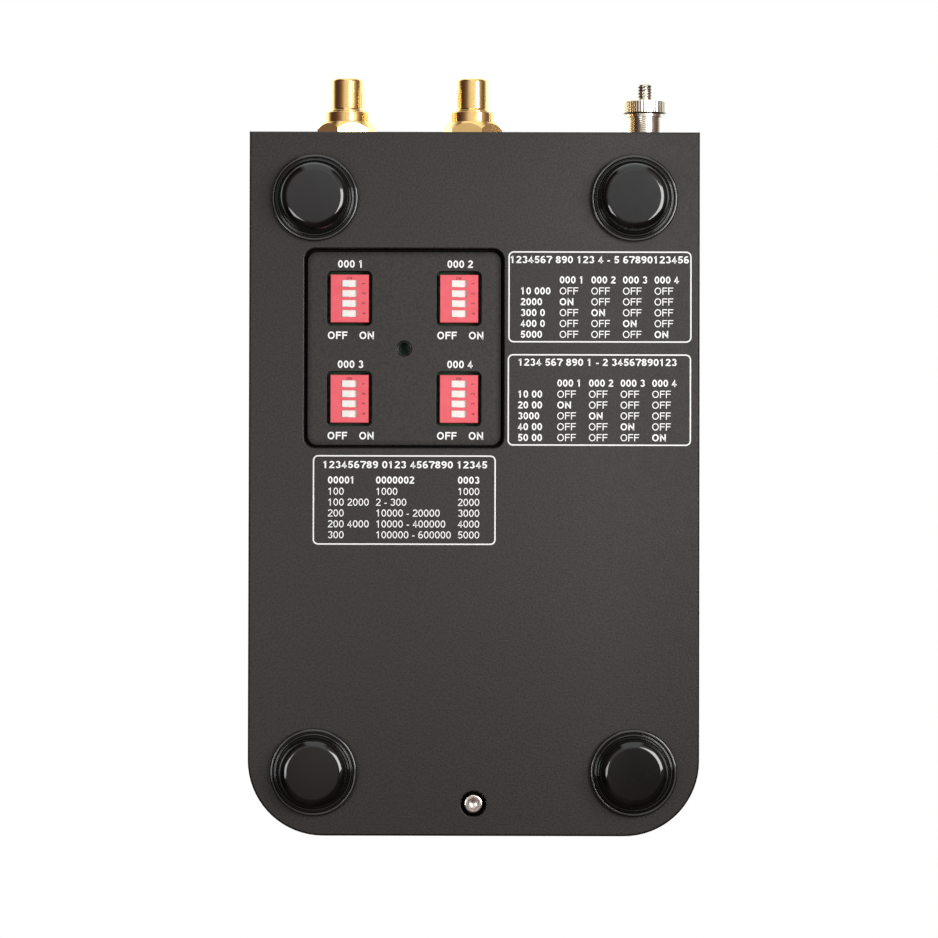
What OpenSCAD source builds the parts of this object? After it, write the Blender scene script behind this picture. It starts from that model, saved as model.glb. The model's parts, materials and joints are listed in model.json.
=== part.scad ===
/* [Case] */
// Width of the case
case_w = 114.3; // [106:0.1:150]
// Length of the case from the front face to the rear face
case_l = 178.5; // [172:0.1:230]
// Height of the case without its feet
case_h = 44.45; // [42:0.05:70]
// Radius of the two front corners seen from above
corner_r = 19.05; // [8:0.05:24]
// Thickness of the side, front and top walls of the housing
wall = 3.175; // [2.4:0.005:4]
// Chamfer on the outer edges of the housing
edge_break = 0.8; // [0.3:0.05:1.2]
// Clearance between parts of the case that are put together
case_gap = 0.1; // [0.05:0.01:0.3]

/* [Bottom plate] */
// Full thickness of the bottom plate
plate_t = 6.35; // [5.5:0.05:8]
// Thickness of the plate's rim, which the housing stands on
rim_t = 4.35; // [3.6:0.05:4.8]
// Chamfer on the lower edge of the plate
plate_chamfer = 0.4; // [0.2:0.05:0.8]
// Width and length of the switch pocket
pocket_w = 50.6; // [48:0.1:56]
// Depth of the switch pocket
pocket_depth = 2.2; // [1.2:0.05:2.6]
// Radius of the pocket's corners
pocket_r = 2.8; // [2:0.1:6]
// Chamfer around the mouth of the pocket
pocket_chamfer = 0.25; // [0.1:0.05:0.4]
// Width of the groove along the pocket's walls
pocket_groove_w = 0.75; // [0.4:0.05:1.2]
// Depth of that groove below the pocket's floor
pocket_groove_deep = 1.6; // [0.8:0.1:2.4]
// Pocket centre, to the right of the case's centre line
pocket_x = 17.8; // [8:0.1:22]
// Distance of the pocket's centre from the rear face
pocket_rear = 55; // [53:0.1:60]
// Clearance between a switch and its window
window_gap = 0.75; // [0.4:0.05:1.2]
// Radius of the windows' corners
window_r = 1.3; // [0.8:0.1:2]
// Diameter of the hole in the middle of the pocket
access_d = 3.6; // [2.5:0.1:5]

/* [Feet] */
// Height of a foot below the plate
foot_h = 8.5; // [6:0.1:12]
// Diameter of a foot's flange
foot_d = 21.7; // [19:0.1:24]
// Diameter of a foot where it meets the ground
foot_tip_d = 17.2; // [13:0.1:17.6]
// Radius of the edge around a foot's tip
foot_round = 2.2; // [1:0.1:2.6]
// Distance of a foot's centre from the side of the case
foot_side = 16.65; // [14:0.05:24]
// Distance of the front feet's centres from the front face
foot_front = 16.1; // [14:0.05:24]
// Distance of the rear feet's centres from the rear face
foot_rear = 16.9; // [14:0.05:24]
// Thickness of the adhesive disc under a foot's flange
foot_pad_t = 0.5; // [0.3:0.05:0.8]

/* [Plate screw] */
// Distance of the plate screw from the front face
plate_screw_inset = 8.1; // [7.5:0.1:10]
// Diameter of the counterbore in the plate
counterbore_d = 6.4; // [6:0.1:8]
// Depth of the counterbore in the plate
counterbore_depth = 3.6; // [3:0.05:4]
// Diameter of the screw's head
cap_head_d = 4.85; // [4.5:0.05:5.6]
// Height of the screw's head
cap_head_h = 2.84; // [2.4:0.02:2.9]
// Outer diameter of the screw's thread
cap_thread_d = 2.84; // [2.5:0.02:3.2]
// Length of the screw below its head
cap_screw_l = 12.7; // [9:0.1:14]
// Hexagon socket across its flats
cap_socket_af = 2.38; // [2:0.02:2.6]

/* [Switches] */
// Width of a switch across its slots' travel
dip_w = 9.95; // [9.4:0.05:10.5]
// Length of a switch along its row of sliders
dip_l = 12.4; // [11.8:0.05:13]
// Height of a switch from its seat on the board to its face
dip_h = 5.5; // [4.8:0.05:6.5]
// Distance of a switch's face below the pocket's floor
dip_sink = 0.5; // [0.2:0.05:0.8]
// Distance between the switches from side to side
dip_span_x = 27.8; // [24:0.1:30]
// Distance between the switches from front to rear
dip_span_y = 25.5; // [24:0.1:28]
// Distance between neighbouring sliders
slider_pitch = 2.54; // [2.4:0.01:2.54]
// Distance that a slider travels from off to on
slider_travel = 2; // [1.2:0.1:2.2]
// Length of a slider's button along its travel
button_l = 1.7; // [1.2:0.1:1.8]
// Width of a slider's button
button_w = 1.66; // [1.4:0.02:1.7]
// Height of a slider's button above the switch's face
button_rise = 0.25; // [0.1:0.05:0.5]

/* [Phono sockets] */
// Distance of the outer socket column from the case's centre line
rca_outer_x = 32.8; // [30:0.1:34]
// Distance of the inner socket column from the case's centre line
rca_inner_x = 0.6; // [-2:0.1:8]
// Distance between the two rows of sockets
rca_row_pitch = 17.8; // [16.5:0.1:20]
// Outer diameter of a socket's barrel
rca_d = 8.35; // [8.1:0.05:8.5]
// Reach of a socket beyond the rear panel
rca_reach = 14.7; // [13:0.1:16]
// Diameter of a socket's collar
rca_collar_d = 11.45; // [10.5:0.05:12.5]
// Length of a socket's collar
rca_collar_l = 2.65; // [2:0.05:3.2]
// Hexagon of a socket across its flats
rca_hex_af = 13.5; // [13:0.1:14.5]
// Thickness of a socket's hexagon
rca_hex_t = 3.5; // [2.4:0.05:3.6]
// Diameter of a socket's threaded shank
rca_shank_d = 9.5; // [9:0.05:10]
// Bore of a socket's centre contact
rca_bore_d = 3.3; // [3.2:0.02:3.4]

/* [Ground post] */
// Distance of the ground post from the side of the case
ground_side = 13.15; // [12.5:0.05:19]
// Diameter of the ground post's barrel
ground_post_d = 9.2; // [8:0.1:9.6]
// Length of the ground post's barrel
ground_post_l = 5.8; // [4:0.1:6.5]
// Outer diameter of the ground post's stud
ground_stud_d = 4.1; // [3:0.05:4.2]
// Reach of the stud beyond the rear panel
ground_stud_reach = 14.5; // [13.6:0.1:15]
// Diameter of the thumb nut
thumb_nut_d = 11.5; // [10:0.1:12]
// Thickness of the thumb nut
thumb_nut_t = 3.8; // [3:0.1:4]
// Number of ridges around the thumb nut
thumb_nut_ridges = 36; // [24:1:48]
// Diameter of the washer under the thumb nut
ground_washer_d = 10; // [9.6:0.1:11]
// Thickness of the washer under the thumb nut
ground_washer_t = 0.75; // [0.5:0.05:1]

/* [Power] */
// Distance of the power inlet from the case's centre line
inlet_x = -21.8; // [-24:0.1:-20]
// Diameter of the inlet's mouth
inlet_d = 5.6; // [5.5:0.05:6.4]
// Diameter of the inlet's centre pin
inlet_pin_d = 2.1; // [1.9:0.05:2.5]
// Diameter of the power light
led_d = 3; // [2.8:0.1:5]
// Height of the power light above the underside of the case
led_z = 26; // [24:0.1:30]

/* [Board] */
// Thickness of the circuit board
board_t = 1.6; // [1.2:0.05:2]
// Distance between the board's edge and the side walls
board_side = 4; // [3:0.1:6]
// Distance of the board's front edge from the front face
board_front = 23; // [21:0.5:25]
// Distance of the board's rear edge from the rear face
board_rear = 18.8; // [18:0.1:21]
// Diameter of the spacers under the board
spacer_d = 6; // [5:0.1:7]
// Distance of the board's screws from its edges
spacer_inset = 4; // [3.5:0.1:5]

/* [Circuit] */
// Length of a film capacitor
film_l = 12; // [10:0.5:14]
// Width of a film capacitor
film_w = 5.5; // [4:0.5:7]
// Height of a film capacitor
film_h = 9.5; // [7:0.5:14]
// Diameter of a supply capacitor
can_d = 10; // [8:0.5:11]
// Height of a supply capacitor
can_h = 16; // [12:0.5:24]
// Length of an amplifier chip
chip_l = 9.6; // [9:0.1:10.4]
// Width of an amplifier chip
chip_w = 6.4; // [6:0.1:7]
// Thickness of an amplifier chip
chip_t = 3.4; // [3:0.1:4]
// Width of a regulator
regulator_w = 10; // [9:0.1:11]
// Height of a regulator's body
regulator_h = 9; // [8:0.1:10]
// Diameter of a resistor
resistor_d = 2.3; // [1.8:0.1:2.8]
// Length of a resistor's body
resistor_l = 6.4; // [5:0.1:7]
// Thickness of the leads of the parts on the board
lead_t = 0.5; // [0.4:0.05:0.6]
// Diameter of the leads from the sockets
wire_d = 1.2; // [0.8:0.1:1.6]

/* [Hidden] */
$fn = 64;

eps = 0.01;
fit = 0.05;

// The case is centred from side to side, and its length with the connectors is centred on the origin
rear_reach = max(rca_reach, ground_stud_reach);
case_y = -rear_reach / 2;
rear_y = case_l / 2;
front_y = -case_l / 2;
inner_w = case_w - 2 * wall;
inner_rear_y = rear_y - wall;
ceiling_z = case_h - wall;
inner_mid_z = (plate_t + ceiling_z) / 2;
foot_x = case_w / 2 - foot_side;
foot_rear_y = rear_y - foot_rear;
foot_front_y = front_y + foot_front;
pocket_y = rear_y - pocket_rear;
pocket_floor_z = pocket_depth;

// The board hangs below the switches' seats, the switches look down through the plate
dip_face_z = pocket_floor_z + dip_sink;
board_z = dip_face_z + dip_h;
board_top_z = board_z + board_t;
board_w = inner_w - 2 * board_side;
board_y0 = front_y + board_front;
board_y1 = rear_y - board_rear;
board_l = board_y1 - board_y0;
spacer_x = board_w / 2 - spacer_inset;
spacer_ys = [board_y0 + spacer_inset, (board_y0 + board_y1) / 2, board_y1 - spacer_inset];
board_screw_r = 1.45;
board_screw_deep = 3.6;

// Shape of a switch
dip_skin = 0.6;
dip_bevel = 0.1;
dip_draft = 0.12;
dip_wall = 0.7;
dip_floor = 3.6;
slot_l = slider_travel + button_l + 2 * fit;
slot_w = button_w + 0.16;
slider_plate_t = 0.8;
slider_plate_w = slot_w + 0.3;
slider_cover = 0.2;
slider_plate_l = slot_l + slider_travel + 2 * slider_cover;
contact_t = 0.2;
dip_pin_x = dip_w / 2;

// Places of the sockets and the post on the rear panel
rca_rows = [inner_mid_z - rca_row_pitch / 2, inner_mid_z + rca_row_pitch / 2];
rca_hex_turn = [14, -12, 5, -20];
shell_wall = 0.9;
rca_ring_l = 0.5;
core_r = rca_d / 2 - shell_wall - fit;
contact_r = rca_bore_d / 2 + 0.55;
shank_deep = wall + 6;
core_deep = shank_deep + 0.5;
contact_tail = 4;
rca_nut_af = 12.7;
rca_nut_t = 2.2;
rca_washer_t = 0.8;
ground_x = ground_side - case_w / 2;
ground_z = inner_mid_z;
ground_hole_r = ground_stud_d / 2 + 0.3;
back_nut_af = 8.7;
back_nut_t = 2.4;
inlet_z = board_top_z + 6.5;
inlet_body = [9, 14, 11];

// The plate hooks under the rear panel: a tongue of the panel sits in a groove of each rail
rail_xs = [16.5, -37];
rail_w = 9;
rail_l = 3;
rail_h = 4;
groove_z = plate_t + 1.3;
groove_h = 1.4;
groove_deep = 2;
tongue_t = groove_h - 2 * case_gap;
tongue_l = groove_deep;

panel_boss = 8;
panel_boss_l = 12;
panel_screw_x = inner_w / 2 - panel_boss / 2;
panel_screw_zs = [plate_t + 1 + panel_boss / 2, ceiling_z - panel_boss / 2];
panel_screw_r = 1.4;
panel_screw_l = 10;
front_boss_w = 9;
front_boss_h = 13;

function dip_at(n) = [
    pocket_x + (n % 2 == 1 ? 1 : -1) * dip_span_x / 2,
    pocket_y + (n <= 2 ? 1 : -1) * dip_span_y / 2
];
function rca_at(n) = [n % 2 == 1 ? rca_outer_x : rca_inner_x, rca_rows[n <= 2 ? 0 : 1]];
function foot_at(n) = [(n % 2 == 1 ? 1 : -1) * foot_x, n <= 2 ? foot_rear_y : foot_front_y];
function arc(cx, cy, r, a0, a1, steps) = [
    for (i = [0:steps])
        let (a = a0 + (a1 - a0) * i / steps)
            [cx + r * cos(a), cy + r * sin(a)]
];

// Case coordinates: z = 0 is the underside of the plate, y = 0 is the middle of the case
module in_case(x, y, z) {
    translate([x, case_y + y, foot_h + z])
        children();
}

// Points along +Y from the outer face of the rear panel
module on_rear(x, z, turn = 0) {
    in_case(x, rear_y, z)
        rotate([-90, 0, 0])
            rotate([0, 0, turn])
                children();
}

// Plan of the case: rounded at the front and square at the rear
module plan(inset, rear_inset) {
    w = case_w - 2 * inset;
    y0 = front_y + inset;
    y1 = rear_y - rear_inset;
    r = corner_r - inset;
    difference() {
        translate([-w / 2, y0])
            square([w, y1 - y0]);
        for (side = [-1, 1])
            translate([side * (w / 2 - r), y0 + r])
                difference() {
                    translate([side > 0 ? 0 : -r - 1, -r - 1])
                        square([r + 1, r + 1]);
                    circle(r = r, $fn = 128);
                }
    }
}

// Block on the plan of the case with a chamfer around its lower and its upper edge
module case_block(z0, z1, low, high) {
    profile_x = [
        [-case_w / 2, z0 + low], [-case_w / 2 + low, z0], [case_w / 2 - low, z0], [case_w / 2, z0 + low],
        [case_w / 2, z1 - high], [case_w / 2 - high, z1], [-case_w / 2 + high, z1], [-case_w / 2, z1 - high]
    ];
    profile_y = [
        [front_y, z0 + low], [front_y + low, z0], [rear_y - low, z0], [rear_y, z0 + low],
        [rear_y, z1 - high], [rear_y - high, z1], [front_y + high, z1], [front_y, z1 - high]
    ];
    corner = [
        [0, z0], [corner_r - low, z0], [corner_r, z0 + low],
        [corner_r, z1 - high], [corner_r - high, z1], [0, z1]
    ];
    difference() {
        intersection() {
            translate([0, rear_y, 0])
                rotate([90, 0, 0])
                    linear_extrude(case_l)
                        polygon(profile_x);
            translate([-case_w / 2, 0, 0])
                rotate([90, 0, 90])
                    linear_extrude(case_w)
                        polygon(profile_y);
        }
        for (side = [-1, 1])
            translate([side > 0 ? case_w / 2 - corner_r : -case_w / 2 - 1, front_y - 1, z0 - 1])
                cube([corner_r + 1, corner_r + 1, z1 - z0 + 2]);
    }
    for (side = [-1, 1])
        translate([side * (case_w / 2 - corner_r), front_y + corner_r, 0])
            rotate([0, 0, side > 0 ? -90 : 180])
                rotate_extrude(angle = 90, $fn = 128)
                    polygon(corner);
}

// Rounded rectangle that two crossing bars and four discs make
module rounded_rect(w, l, r) {
    difference() {
        translate([-w / 2, -l / 2])
            square([w, l]);
        for (sx = [-1, 1], sy = [-1, 1])
            translate([sx * (w / 2 - r), sy * (l / 2 - r)])
                difference() {
                    translate([sx > 0 ? 0 : -r - 1, sy > 0 ? 0 : -r - 1])
                        square([r + 1, r + 1]);
                    circle(r = r);
                }
    }
}

module housing() {
    color("#2b2a2a")
        in_case(0, 0, 0)
            difference() {
                union() {
                    difference() {
                        case_block(rim_t + fit, case_h, 0.2, edge_break);
                        translate([0, 0, rim_t - 1])
                            linear_extrude(ceiling_z - rim_t + 1)
                                plan(wall, -1);
                    }
                    front_boss();
                    panel_bosses();
                }
                translate([0, front_y + plate_screw_inset, plate_t])
                    cylinder(r = cap_thread_d / 2 + fit, h = cap_screw_l);
                translate([0, front_y - 1, led_z])
                    rotate([-90, 0, 0])
                        cylinder(r = led_d / 2 + fit, h = wall + 2);
                for (side = [-1, 1], z = panel_screw_zs)
                    translate([side * panel_screw_x, inner_rear_y + 1, z])
                        rotate([90, 0, 0])
                            cylinder(r = panel_screw_r + fit, h = panel_screw_l);
            }
}

// Boss behind the front wall that takes the plate screw
module front_boss() {
    translate([-front_boss_w / 2, front_y + wall - eps, plate_t + fit])
        cube([front_boss_w, plate_screw_inset - wall + front_boss_w / 2, front_boss_h]);
}

// Bosses along the side walls that take the screws of the rear panel
module panel_bosses() {
    for (side = [-1, 1], z = panel_screw_zs)
        translate([side > 0 ? inner_w / 2 - panel_boss : -inner_w / 2 - eps, 0, z - panel_boss / 2])
            translate([0, inner_rear_y - fit - panel_boss_l, 0])
                cube([panel_boss + eps, panel_boss_l, panel_boss]);
}

module bottom_plate() {
    color("#33312f")
        in_case(0, 0, 0)
            difference() {
                union() {
                    case_block(0, rim_t, plate_chamfer, 0.1);
                    translate([0, 0, rim_t - 1])
                        linear_extrude(plate_t - rim_t + 1)
                            plan(wall + case_gap, wall + case_gap);
                    plate_rails();
                }
                switch_pocket();
                for (n = [1:4])
                    switch_window(n);
                access_hole();
                plate_screw_hole();
                for (side = [-1, 1], y = spacer_ys)
                    translate([side * spacer_x, y, plate_t - board_screw_deep - 0.3])
                        cylinder(r = board_screw_r + fit, h = board_screw_deep + 1);
            }
}

// Grooved rails that hook under the tongues of the rear panel
module plate_rails() {
    for (x = rail_xs)
        difference() {
            translate([x - rail_w / 2, inner_rear_y - case_gap - rail_l, plate_t - 1])
                cube([rail_w, rail_l, rail_h + 1]);
            translate([x - rail_w, inner_rear_y - case_gap - groove_deep, groove_z])
                cube([2 * rail_w, groove_deep + 1, groove_h]);
        }
}

// Pocket with a chamfered mouth and a narrow groove along its walls
module switch_pocket() {
    translate([pocket_x, pocket_y, 0]) {
        translate([0, 0, -1])
            linear_extrude(pocket_depth + 1)
                rounded_rect(pocket_w, pocket_w, pocket_r);
        translate([0, 0, pocket_depth - eps])
            linear_extrude(pocket_groove_deep + eps)
                pocket_groove();
        for (turn = [0:3])
            rotate([0, 0, 90 * turn]) {
                translate([pocket_w / 2 - pocket_r, pocket_w / 2 - pocket_r, 0])
                    rotate_extrude(angle = 90)
                        chamfer_profile(pocket_r);
                translate([0, pocket_w / 2 - pocket_r, 0])
                    rotate([90, 0, 90])
                        translate([0, 0, -pocket_w / 2 + pocket_r])
                            linear_extrude(pocket_w - 2 * pocket_r)
                                chamfer_profile(pocket_r);
            }
    }
}

module pocket_groove() {
    inner_w = pocket_w - 2 * pocket_groove_w;
    difference() {
        rounded_rect(pocket_w, pocket_w, pocket_r);
        rounded_rect(inner_w, inner_w, max(pocket_r - pocket_groove_w / 2, 1));
    }
}

// Half of a chamfered mouth, from the middle of the corner outwards
module chamfer_profile(r) {
    polygon([[0, -0.5], [r + pocket_chamfer + 0.5, -0.5], [r, pocket_chamfer], [0, pocket_chamfer]]);
}

module switch_window(n) {
    translate([dip_at(n)[0], dip_at(n)[1], 0])
        linear_extrude(plate_t + 1)
            rounded_rect(dip_w + 2 * window_gap, dip_l + 2 * window_gap, window_r);
}

module access_hole() {
    translate([pocket_x, pocket_y, 0])
        cylinder(r = access_d / 2, h = plate_t + 1);
    translate([pocket_x, pocket_y, pocket_floor_z - eps])
        cylinder(r1 = access_d / 2 + pocket_chamfer, r2 = access_d / 2, h = pocket_chamfer);
}

module plate_screw_hole() {
    translate([0, front_y + plate_screw_inset, 0]) {
        translate([0, 0, -1])
            cylinder(r = counterbore_d / 2, h = counterbore_depth + 1);
        translate([0, 0, -eps])
            cylinder(r1 = counterbore_d / 2 + pocket_chamfer, r2 = counterbore_d / 2, h = pocket_chamfer);
        cylinder(r = cap_thread_d / 2 + 0.15, h = plate_t + 1);
    }
}

module rear_panel() {
    w = inner_w - 2 * case_gap;
    z0 = rim_t + case_gap;
    z1 = ceiling_z - case_gap;
    color("#2b2a2a")
        in_case(0, 0, 0)
            difference() {
                union() {
                    translate([-w / 2, inner_rear_y, z0])
                        cube([w, wall, z1 - z0]);
                    for (x = rail_xs)
                        translate([x - rail_w / 2, inner_rear_y - tongue_l, groove_z + case_gap])
                            cube([rail_w, tongue_l + 1, tongue_t]);
                }
                for (n = [1:4])
                    panel_hole(rca_at(n)[0], rca_at(n)[1], rca_shank_d / 2 + fit);
                panel_hole(ground_x, ground_z, ground_hole_r);
                panel_hole(inlet_x, inlet_z, inlet_d / 2 + 1.3);
                for (side = [-1, 1], z = panel_screw_zs)
                    translate([side * panel_screw_x, rear_y, z])
                        rotate([90, 0, 0]) {
                            cylinder(r = panel_screw_r + 0.15, h = wall + 1);
                            cylinder(
                                r1 = 2 * panel_screw_r + fit,
                                r2 = panel_screw_r + fit,
                                h = panel_screw_r
                            );
                        }
            }
}

module panel_hole(x, z, r) {
    translate([x, rear_y + 1, z])
        rotate([90, 0, 0])
            cylinder(r = r, h = wall + 2);
}

// Foot: a rounded flange, a groove, a raised ring and a tapering body with a rounded tip
module foot(n) {
    flange_r = foot_d / 2;
    tip_r = foot_tip_d / 2;
    rounding = min(foot_round, tip_r - 1);
    profile = concat(
        [[0, -foot_pad_t], [flange_r - 0.6, -foot_pad_t]],
        arc(flange_r - 0.75, -foot_pad_t - 0.85, 0.75, 60, -150, 9),
        [[flange_r - 1.45, -foot_pad_t - 0.75]],
        arc(flange_r - 1.75, -foot_pad_t - 1.75, 0.5, 30, -60, 4),
        arc(tip_r + 1.72, -foot_pad_t - 4.1, 1.6, 130, 180, 6),
        arc(tip_r - rounding, -foot_h + rounding, rounding, 0, -90, 12),
        [[0, -foot_h]]
    );
    color("#161617")
        in_case(foot_at(n)[0], foot_at(n)[1], 0)
            rotate_extrude($fn = 96)
                polygon(profile);
}

module foot_pads() {
    color("#262626")
        for (n = [1:4])
            in_case(foot_at(n)[0], foot_at(n)[1], -foot_pad_t)
                cylinder(r = foot_d / 2 - 0.6, h = foot_pad_t);
}

// Hexagon socket cap screw
module plate_screw() {
    color("#c9c7c2")
        in_case(0, front_y + plate_screw_inset, counterbore_depth)
            difference() {
                union() {
                    translate([0, 0, -cap_head_h])
                        rotate_extrude()
                            polygon([
                                [0, 0], [cap_head_d / 2 - 0.3, 0], [cap_head_d / 2, 0.3],
                                [cap_head_d / 2, cap_head_h], [0, cap_head_h]
                            ]);
                    translate([0, 0, -eps])
                        cylinder(r = cap_thread_d / 2, h = cap_screw_l);
                }
                translate([0, 0, -cap_head_h - 1])
                    cylinder(r = cap_socket_af / 2 / cos(30), h = 1 + cap_head_h / 2, $fn = 6);
                translate([0, 0, -cap_head_h - eps])
                    cylinder(r1 = cap_socket_af / 2 / cos(30) + 0.1, r2 = cap_socket_af / 2, h = 0.3);
            }
}

// Countersunk screws with a hexagon socket
module panel_screws() {
    head_h = panel_screw_r;
    color("#8f8d89")
        for (side = [-1, 1], z = panel_screw_zs)
            in_case(side * panel_screw_x, rear_y, z)
                rotate([90, 0, 0])
                    difference() {
                        union() {
                            cylinder(r1 = 2 * panel_screw_r, r2 = panel_screw_r, h = head_h);
                            cylinder(r = panel_screw_r, h = panel_screw_l);
                        }
                        translate([0, 0, -eps])
                            cylinder(r = panel_screw_r * 0.7, h = head_h * 0.8, $fn = 6);
                    }
}

module board() {
    color("#1f5a34")
        in_case(0, 0, board_z)
            difference() {
                union() {
                    translate([-board_w / 2, board_y0, 0])
                        cube([board_w, board_l, board_t]);
                    translate([inlet_x - inlet_body[0] / 2 - 2, board_y1 - 1, 0])
                        cube([inlet_body[0] + 4, inner_rear_y - board_y1 + 0.5, board_t]);
                }
                for (side = [-1, 1], y = spacer_ys)
                    translate([side * spacer_x, y, -1])
                        cylinder(r = board_screw_r + 0.15, h = board_t + 2);
            }
}

module board_spacers() {
    h = board_z - plate_t;
    color("#c9a75a")
        for (side = [-1, 1], y = spacer_ys)
            in_case(side * spacer_x, y, plate_t)
                difference() {
                    cylinder(r = spacer_d / 2, h = h);
                    translate([0, 0, -1])
                        cylinder(r = board_screw_r + 0.15, h = h + 2);
                }
}

module board_screws() {
    color("#b9b7b2")
        for (side = [-1, 1], y = spacer_ys)
            in_case(side * spacer_x, y, board_top_z)
                difference() {
                    union() {
                        translate([0, 0, -(board_top_z - plate_t) - board_screw_deep])
                            cylinder(r = board_screw_r, h = board_top_z - plate_t + board_screw_deep + eps);
                        rotate_extrude()
                            polygon(concat([[0, 0], [2.8, 0]], arc(2.2, 1.2, 0.6, 0, 90, 4), [[0, 1.8]]));
                    }
                    for (turn = [0, 90])
                        rotate([0, 0, turn])
                            translate([-1.4, -0.25, 1])
                                cube([2.8, 0.5, 1]);
                }
}

// Local frame of a switch: z = 0 is its face and z grows into the case
module in_dip(n) {
    in_case(dip_at(n)[0], dip_at(n)[1], dip_face_z)
        children();
}

function slider_y(k) = (2.5 - k) * slider_pitch;

// Side of a cover: its walls taper towards the face, which has a small bevel along both edges
function bevelled_side(w, h) = [
    [-w / 2 + dip_draft + dip_bevel, 0], [w / 2 - dip_draft - dip_bevel, 0],
    [w / 2 - dip_draft, dip_bevel], [w / 2, h], [-w / 2, h], [-w / 2 + dip_draft, dip_bevel]
];

// Cover of a switch with one slot for each slider
module dip_cover(n) {
    color("#e0303c")
        in_dip(n)
            difference() {
                intersection() {
                    translate([0, dip_l / 2, 0])
                        rotate([90, 0, 0])
                            linear_extrude(dip_l)
                                polygon(bevelled_side(dip_w, dip_h - 0.4));
                    translate([-dip_w / 2, 0, 0])
                        rotate([90, 0, 90])
                            linear_extrude(dip_w)
                                polygon(bevelled_side(dip_l, dip_h - 0.4));
                }
                translate([-dip_w / 2 + dip_wall, -dip_l / 2 + dip_wall, dip_skin])
                    cube([dip_w - 2 * dip_wall, dip_l - 2 * dip_wall, dip_h]);
                for (k = [1:4])
                    translate([-slot_l / 2, slider_y(k) - slot_w / 2, -1])
                        cube([slot_l, slot_w, dip_skin + 2]);
            }
}

// Base of a switch with its two rows of feet soldered to the board
module dip_base(n) {
    base_w = dip_w - 2 * dip_wall - 2 * fit;
    base_l = dip_l - 2 * dip_wall - 2 * fit;
    z0 = dip_skin + slider_plate_t + contact_t + 2 * fit;
    color("#1b1b1c")
        in_dip(n) {
            translate([-base_w / 2, -base_l / 2, z0])
                cube([base_w, base_l, dip_h - z0]);
            for (k = [1:4], side = [-1, 1])
                translate([side * dip_pin_x - 0.5, slider_y(k) - 0.3, dip_h - 0.3])
                    cube([1, 0.6, 0.3]);
        }
}

// Contact springs between the sliders and the bases
module dip_contacts() {
    z0 = dip_skin + slider_plate_t + 2 * fit;
    color("#c8a24a")
        for (n = [1:4], k = [1:4])
            in_dip(n)
                for (side = [-1, 1])
                    translate([side > 0 ? 0.35 : -3.2, slider_y(k) - 0.5, z0])
                        cube([2.85, 1, contact_t]);
}

// Slider: a plate under the cover and a button in its slot, shown switched off
module dip_slider(n, k) {
    off_x = slot_l / 2 - fit;
    color("#f4f1ec")
        in_dip(n)
            translate([0, slider_y(k), 0]) {
                translate([off_x - button_l, -button_w / 2, -button_rise])
                    cube([button_l, button_w, button_rise + dip_skin + 2 * fit]);
                translate([-slot_l / 2 - slider_cover, -slider_plate_w / 2, dip_skin + fit])
                    cube([slider_plate_l, slider_plate_w, slider_plate_t]);
            }
}

// Hexagon with its outer corners turned off by a cone
module hexagon(af, h, flat_r, drop) {
    ac = af / cos(30);
    intersection() {
        cylinder(r = ac / 2, h = h, $fn = 6);
        rotate_extrude()
            polygon([[0, 0], [ac / 2, 0], [ac / 2, h - drop], [flat_r, h], [0, h]]);
    }
}

// Turned shell: shank, hexagon, collar, ring and a barrel with a rounded mouth
module rca_shell(n) {
    r = rca_d / 2;
    collar_y1 = rca_hex_t + rca_collar_l;
    ring_y1 = collar_y1 + rca_ring_l;
    bore_r = r - shell_wall;
    outline = concat(
        [[bore_r, -shank_deep], [rca_shank_d / 2 - 0.4, -shank_deep], [rca_shank_d / 2, -shank_deep + 0.4]],
        [[rca_shank_d / 2, rca_hex_t - eps]],
        arc(rca_collar_d / 2 - 0.15, rca_hex_t + 0.15, 0.15, -90, 0, 2),
        arc(rca_collar_d / 2 - 0.3, collar_y1 - 0.3, 0.3, 0, 90, 4),
        [[r + 0.4, collar_y1]],
        arc(r + 0.22, ring_y1 - 0.18, 0.18, 0, 90, 3),
        [[r + 0.15, ring_y1], [r, ring_y1 + 0.45]],
        arc(r - 0.7, rca_reach - 0.7, 0.7, 0, 90, 6),
        [[bore_r + 0.15, rca_reach], [bore_r, rca_reach - 0.3]]
    );
    color("#e0b45c")
        on_rear(rca_at(n)[0], rca_at(n)[1], rca_hex_turn[n - 1]) {
            rotate_extrude()
                polygon(outline);
            difference() {
                hexagon(rca_hex_af, rca_hex_t, rca_hex_af / 2 - 0.3, 1.9);
                translate([0, 0, -1])
                    cylinder(r = bore_r + 0.3, h = rca_hex_t + 2);
            }
        }
}

module rca_insulators() {
    color("#efece4")
        for (n = [1:4])
            on_rear(rca_at(n)[0], rca_at(n)[1])
                difference() {
                    translate([0, 0, -core_deep])
                        cylinder(r = core_r, h = core_deep + rca_reach - 0.9);
                    translate([0, 0, -core_deep - 1])
                        cylinder(r = contact_r + fit, h = core_deep + rca_reach + 2);
                }
}

// Centre contacts: a socket at the mouth and a solder tail inside the case
module rca_contacts() {
    bore_l = 9;
    mouth = rca_reach - 1.1;
    color("#dcae55")
        for (n = [1:4])
            on_rear(rca_at(n)[0], rca_at(n)[1])
                difference() {
                    union() {
                        translate([0, 0, -core_deep - 1])
                            cylinder(r = contact_r, h = core_deep + 1 + mouth);
                        translate([0, 0, -core_deep - contact_tail])
                            cylinder(r = 0.9, h = contact_tail);
                    }
                    translate([0, 0, mouth - bore_l])
                        cylinder(r = rca_bore_d / 2, h = bore_l + 1);
                    translate([0, 0, mouth - 0.3])
                        cylinder(r1 = rca_bore_d / 2, r2 = rca_bore_d / 2 + 0.35, h = 0.35);
                }
}

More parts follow.
